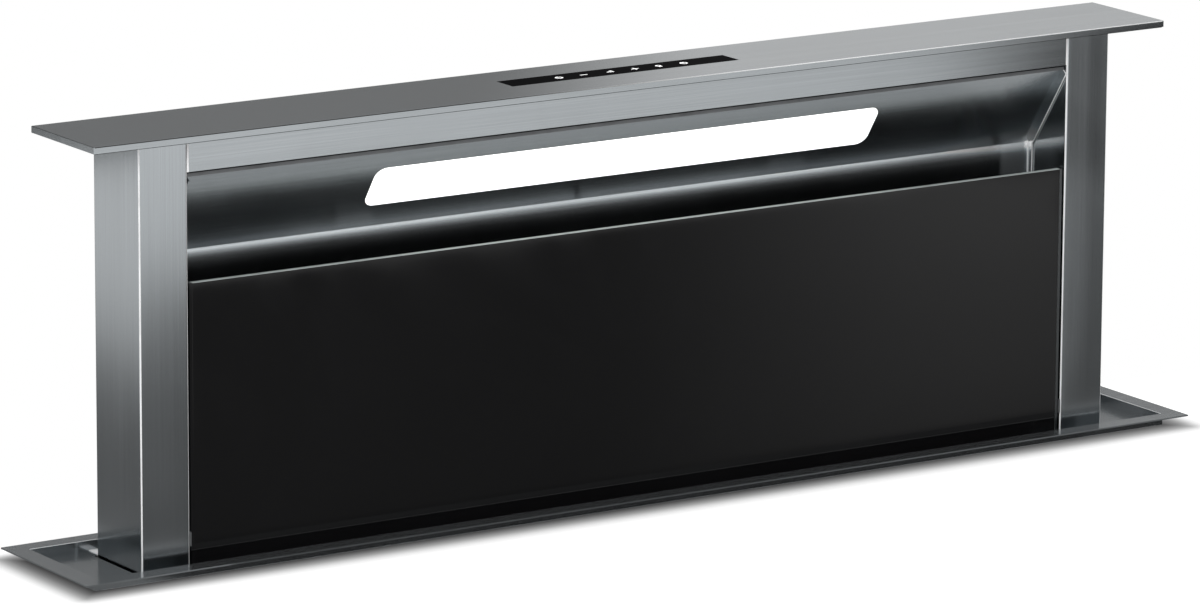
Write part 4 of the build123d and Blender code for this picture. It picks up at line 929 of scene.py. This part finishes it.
# stage and light
stageSizes = {
    "worktopLow": (-0.60, -0.47), "worktopHigh": (0.60, 0.16), "worktopLevel": 0.5938, "worktopThick": 0.020,
    "edgeDrop": 0.0002, "cutLow": (-0.449, 0.0305), "cutHigh": (0.449, 0.1240),
    "floorRadius": 1.5, "floorLevel": -0.0005,
    "cardLow": (-3.0, -4.0), "cardHigh": (5.0, 3.0), "cardLevel": 0.5936,
    "back": (0.85, (-1.2, 0.70), (2.6, 1.7)),       # an upright card's Y, then X and Z of two corners
    "ahead": (-5.0, (10.0, 0.62), (-4.0, 3.2)),
}
paleLevels = {"worktop": (0.80, 0.62), "edge": (0.66, 0.36), "floor": (0.80, 0.32)}     # grey, lift
shadeLevels = {
    "start": 0.02,      # the stops of distance and level begin this far under the flange
    "stops": ((0, 0.03), (0.004, 0.048), (0.007, 0.085), (0.010, 0.14), (0.013, 0.19), (0.017, 0.24), (0.021, 0.32),
              (0.025, 0.46), (0.030, 0.65), (0.036, 0.81), (0.043, 0.92), (0.052, 0.985), (0.07, 1.0)),
    "thinner": (0.1, 0.5, 0.0, 0.08),       # it thins out towards the right
}
frameLow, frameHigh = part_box("trim_frame")
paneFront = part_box("left_column")[0].y


def plainMesh(name, points, faces):
    mesh = bpy.data.meshes.new(name)
    mesh.from_pydata(points, [], faces)
    mesh.update()
    return linkMesh(name, mesh)


def rectangle(low, high, z):
    (x0, y0), (x1, y1) = low, high
    return [(x0, y0, z), (x1, y0, z), (x1, y1, z), (x0, y1, z)]


def addHoledSheet(name, low, high, z):
    # a level sheet with the cut-out that the housing goes through
    points = rectangle(low, high, z) + rectangle(stageSizes["cutLow"], stageSizes["cutHigh"], z)
    return plainMesh(name, points, [(0, 1, 5, 4), (1, 2, 6, 5), (2, 3, 7, 6), (3, 0, 4, 7)])


def addSlabSides(name, low, high, top, bottom):
    # the outer edge and the underside of the worktop, which show from low or from behind
    points = rectangle(low, high, bottom) + rectangle(low, high, top)
    points += rectangle(stageSizes["cutLow"], stageSizes["cutHigh"], bottom)
    faces = [(i, (i + 1) % 4, (i + 1) % 4 + 4, i + 4) for i in range(4)]
    faces += [(i, i + 8, (i + 1) % 4 + 8, (i + 1) % 4) for i in range(4)]
    return plainMesh(name, points, faces)


def addDisc(name, radius, z, sides=96):
    ring = [(radius * math.cos(2 * math.pi * i / sides), radius * math.sin(2 * math.pi * i / sides), z)
            for i in range(sides)]
    return plainMesh(name, ring, [tuple(range(sides))])


def addUprightCard(name, y, low, high):
    return plainMesh(name, [(x, y, z) for x, z, _ in rectangle(low, high, 0)], [(0, 1, 2, 3)])


def curveNode(value, stops):
    # a smooth curve through stops of place and level, with places from 0 to the last one's
    span = stops[-1][0]
    node = addNode(value.id_data, "ShaderNodeFloatCurve", {"Value": over(value, span, clamp=True)})
    line = node.mapping.curves[0].points
    for place, level in stops[1:-1]:
        line.new(place / span, level)
    line[0].location = (stops[0][0] / span, stops[0][1])
    line[len(line) - 1].location = (1.0, stops[-1][1])
    node.mapping.update()
    return node.outputs[0]


def blendNode(low, high, factor):
    return addNode(factor.id_data, "ShaderNodeMix", {2: low, 3: high, 0: factor}, data_type="FLOAT").outputs[0]


def seenRays(tree):
    # 1 for what the camera and mirrors see, 0 for the light that falls on the object
    path = addNode(tree, "ShaderNodeLightPath").outputs
    return larger(larger(path["Is Camera Ray"], path["Is Glossy Ray"]), path["Is Transmission Ray"])


def bareMaterial(thing, name):
    # a material without its usual shader, put on the thing
    material = bpy.data.materials.new(name)
    material.use_nodes = True
    tree = material.node_tree
    tree.nodes.remove(tree.nodes["Principled BSDF"])
    thing.data.materials.append(material)
    return tree, tree.nodes["Material Output"].inputs["Surface"]


def paint(thing, name, level, lift, shade=None):
    # a plain matt grey; what the camera and mirrors see of it is lifted to the white of the backdrop
    tree, surface = bareMaterial(thing, name)
    colour, strength = (level, level, level), times(seenRays(tree), lift)
    if shade:
        share = contactShade(*splitPlace(tree), shade)
        colour, strength = tintNode((0.0, 0.0, 0.0), colour, share), times(strength, share)
    matt = addNode(tree, "ShaderNodeBsdfDiffuse", {"Color": colour}).outputs[0]
    glow = addNode(tree, "ShaderNodeEmission", {"Strength": strength}).outputs[0]
    feed(addNode(tree, "ShaderNodeAddShader", {0: matt, 1: glow}).outputs[0], surface)


def contactShade(x, y, z, levels):
    # the soft shade that gathers under the flange, by the distance from its edge, negative underneath
    beside = minus(mathNode("ABSOLUTE", x), frameHigh.x)
    beyond = larger(minus(frameLow.y, y), minus(y, frameHigh.y))
    deep, wide = larger(beyond, 0.0), larger(beside, 0.0)
    away = mathNode("SQRT", plus(times(deep, deep), times(wide, wide)))
    under = smaller(larger(beyond, beside), 0.0)
    shade = curveNode(plus(plus(away, under), levels["start"]), levels["stops"])
    return blendNode(shade, 1.0, rangeNode(x, *levels["thinner"]))


def addWorktop(sizes):
    low, high, level = sizes["worktopLow"], sizes["worktopHigh"], sizes["worktopLevel"]
    top = addHoledSheet("worktop", low, high, level)
    paint(top, "worktopPale", *paleLevels["worktop"], shadeLevels)
    sides = addSlabSides("worktopSides", low, high, level - sizes["edgeDrop"], level - sizes["worktopThick"])
    paint(sides, "worktopEdgePale", *paleLevels["edge"])
    for part in (top, sides):
        part.visible_glossy = False
    return top, sides


def makeCard(card, build, levels):
    # a card that only reflections see; its glow is worked out from its own place
    tree, surface = bareMaterial(card, card.name + "Glow")
    glow = addNode(tree, "ShaderNodeEmission", {"Strength": build(*splitPlace(tree), levels)}).outputs[0]
    clear = addNode(tree, "ShaderNodeBsdfTransparent").outputs[0]
    behind = addNode(tree, "ShaderNodeNewGeometry").outputs["Backfacing"]
    feed(addNode(tree, "ShaderNodeMixShader", {0: behind, 1: glow, 2: clear}).outputs[0], surface)
    for rays in ("camera", "diffuse", "shadow", "transmission", "volume_scatter"):
        setattr(card, "visible_" + rays, False)
    return card


# a range is where it starts and ends, then the levels there, if they aren't 0 and 1
tableLevels = {
    "fanX": 2.745, "fanReach": 4.167, "fanHeight": 1.275, "sideReach": 2.336,     # how the levels spread
    "sideX": -0.409,      # the left column's outer face
    "leftPost": ((0, 0.028), (0.012, 0.028), (0.0165, 0.30), (0.024, 0.160), (0.07, 0.176), (0.105, 0.188),
                 (0.126, 0.208), (0.146, 0.25), (0.166, 0.335), (0.186, 0.48), (0.206, 0.66), (0.226, 0.84),
                 (0.246, 0.94), (0.32, 1.0)),     # stops of height and level
    "leftGain": 1.08, "leftEdge": (-0.373, -0.369),
    "rightPost": ((0, 0.04), (0.012, 0.05), (0.0165, 0.24), (0.024, 0.15), (0.06, 0.13), (0.14, 0.07), (0.20, 0.04),
                  (0.32, 0.03)),
    "rightEdge": (0.369, 0.373),
    "pane": ((0, 0.0), (0.012, 0.02), (0.022, 0.20), (0.036, 0.24), (0.116, 0.37), (0.19, 0.52), (0.32, 0.6)),
    "paneAlong": (-0.08, 0.34), "paneFoot": (0.008, 0.022, 0.02, 0.12), "paneTop": (0.198, 0.204),
    "rail": ((0, 1.0), (0.35, 0.98), (0.5, 0.93), (0.6, 0.92), (0.7, 0.90), (0.75, 0.86), (0.78, 0.66), (0.81, 0.41),
             (0.84, 0.25), (0.88, 0.11), (1.0, 0.09)),     # stops along the front, where 0.5 is its middle
    "railTop": (0.268, 0.284, 1.0, 1.12),
    "side": ((0, 0.24), (0.03, 0.20), (0.09, 0.19), (0.106, 0.21), (0.126, 0.27), (0.146, 0.41), (0.166, 0.62),
             (0.186, 0.75), (0.2, 0.84), (0.32, 0.98)),
    "sideTurn": (-0.02, 0.0),
    "plain": 0.55, "plainY": (0.13, 0.2), "plainX": (-0.46, -0.42), "plainAlong": (0.6, 0.7),
    "steep": 0.72, "steepTurn": (0.35, 0.6),
}
aheadLevels = {"low": (2.2, 4.6, 1.0, 0.2), "high": 0.22, "turn": (0.95, 1.3)}
backLevels = {"flange": (0.0, 0.9, 0.245, 0.285), "cap": (0.36, 0.62, 0.255, 0.70), "turn": (0.90, 0.98)}


def fanned(distance, reach, height):
    # share of the way out from a face, its growth, and the height at which that face mirrors the place
    share = over(distance, reach)
    grown = plus(share, 1.0)
    return share, grown, over(times(share, height), grown)


def tableGlow(x, y, z, levels):
    # levels on the table, arranged by the height and the place along the front that mirror them
    share, grown, height = fanned(minus(paneFront, y), levels["fanReach"], levels["fanHeight"])
    along = over(minus(x, times(share, levels["fanX"])), grown)
    leftPost = times(curveNode(height, levels["leftPost"]), levels["leftGain"])
    rightPost = curveNode(height, levels["rightPost"])
    pane = times(curveNode(height, levels["pane"]), easeNode(along, *levels["paneAlong"]))
    pane = plus(pane, rangeNode(height, *levels["paneFoot"]))
    rail = times(curveNode(plus(along, 0.5), levels["rail"]), rangeNode(height, *levels["railTop"]))
    front = blendNode(pane, rail, rangeNode(height, *levels["paneTop"]))
    front = blendNode(leftPost, front, rangeNode(along, *levels["leftEdge"]))
    front = blendNode(front, rightPost, rangeNode(along, *levels["rightEdge"]))
    sideShare, _, sideHeight = fanned(minus(levels["sideX"], x), levels["sideReach"], levels["fanHeight"])
    side = curveNode(sideHeight, levels["side"])
    shallow = blendNode(front, side, easeNode(minus(sideShare, share), *levels["sideTurn"]))
    # behind the tower and past its right end the table is plain
    behind = times(rangeNode(y, *levels["plainY"]), rangeNode(x, *levels["plainX"]))
    shallow = blendNode(shallow, levels["plain"], larger(behind, rangeNode(along, *levels["plainAlong"])))
    # seen from well above, as the slope mirrors it, the table is evenly light
    facing = addNode(x.id_data, "ShaderNodeLayerWeight", {"Blend": 0.5}).outputs["Facing"]
    return blendNode(levels["steep"], shallow, easeNode(facing, *levels["steepTurn"]))


def aheadGlow(x, y, z, levels):
    # light near the horizon on the left, dark on the right and higher up
    return blendNode(easeNode(x, *levels["low"]), levels["high"], easeNode(z, *levels["turn"]))


def backGlow(x, y, z, levels):
    # low down for the flange, higher up for the cap, which is dark on the left and light on the right
    return blendNode(rangeNode(x, *levels["flange"]), easeNode(x, *levels["cap"]), easeNode(z, *levels["turn"]))


worktop, worktopSides = addWorktop(stageSizes)
cabinetFloor = addDisc("cabinetFloor", stageSizes["floorRadius"], stageSizes["floorLevel"])
paint(cabinetFloor, "floorPale", *paleLevels["floor"])
tableCard = makeCard(addHoledSheet("tableCard", stageSizes["cardLow"], stageSizes["cardHigh"],
                                   stageSizes["cardLevel"]), tableGlow, tableLevels)
backCard = makeCard(addUprightCard("backCard", *stageSizes["back"]), backGlow, backLevels)
aheadCard = makeCard(addUprightCard("aheadCard", *stageSizes["ahead"]), aheadGlow, aheadLevels)

lampSizes = {"place": (-1.6, -1.6, 2.6), "target": (0.0, 0.08, 0.7), "size": 1.4, "power": 28.0}
worldLevels = {"light": 0.75, "backdrop": 1.0}


def addLamp(name, sizes):
    data = bpy.data.lights.new(name, "AREA")
    data.shape = "DISK"
    data.size = sizes["size"]
    data.energy = sizes["power"]
    lamp = bpy.data.objects.new(name, data)
    lamp.location = sizes["place"]
    aim = Vector(sizes["target"]) - Vector(sizes["place"])
    lamp.rotation_euler = aim.to_track_quat("-Z", "Y").to_euler()
    lamp.visible_glossy = False
    scene.collection.objects.link(lamp)


def setWorld(levels):
    world = bpy.data.worlds.new("studio")
    scene.world = world
    world.use_nodes = True
    tree = world.node_tree
    strength = rangeNode(seenRays(tree), 0.0, 1.0, levels["light"], levels["backdrop"])
    feedAll(tree.nodes["Background"].inputs, {"Color": (1.0, 1.0, 1.0), "Strength": strength})


addLamp("keyLamp", lampSizes)
setWorld(worldLevels)
print("stage and light set")
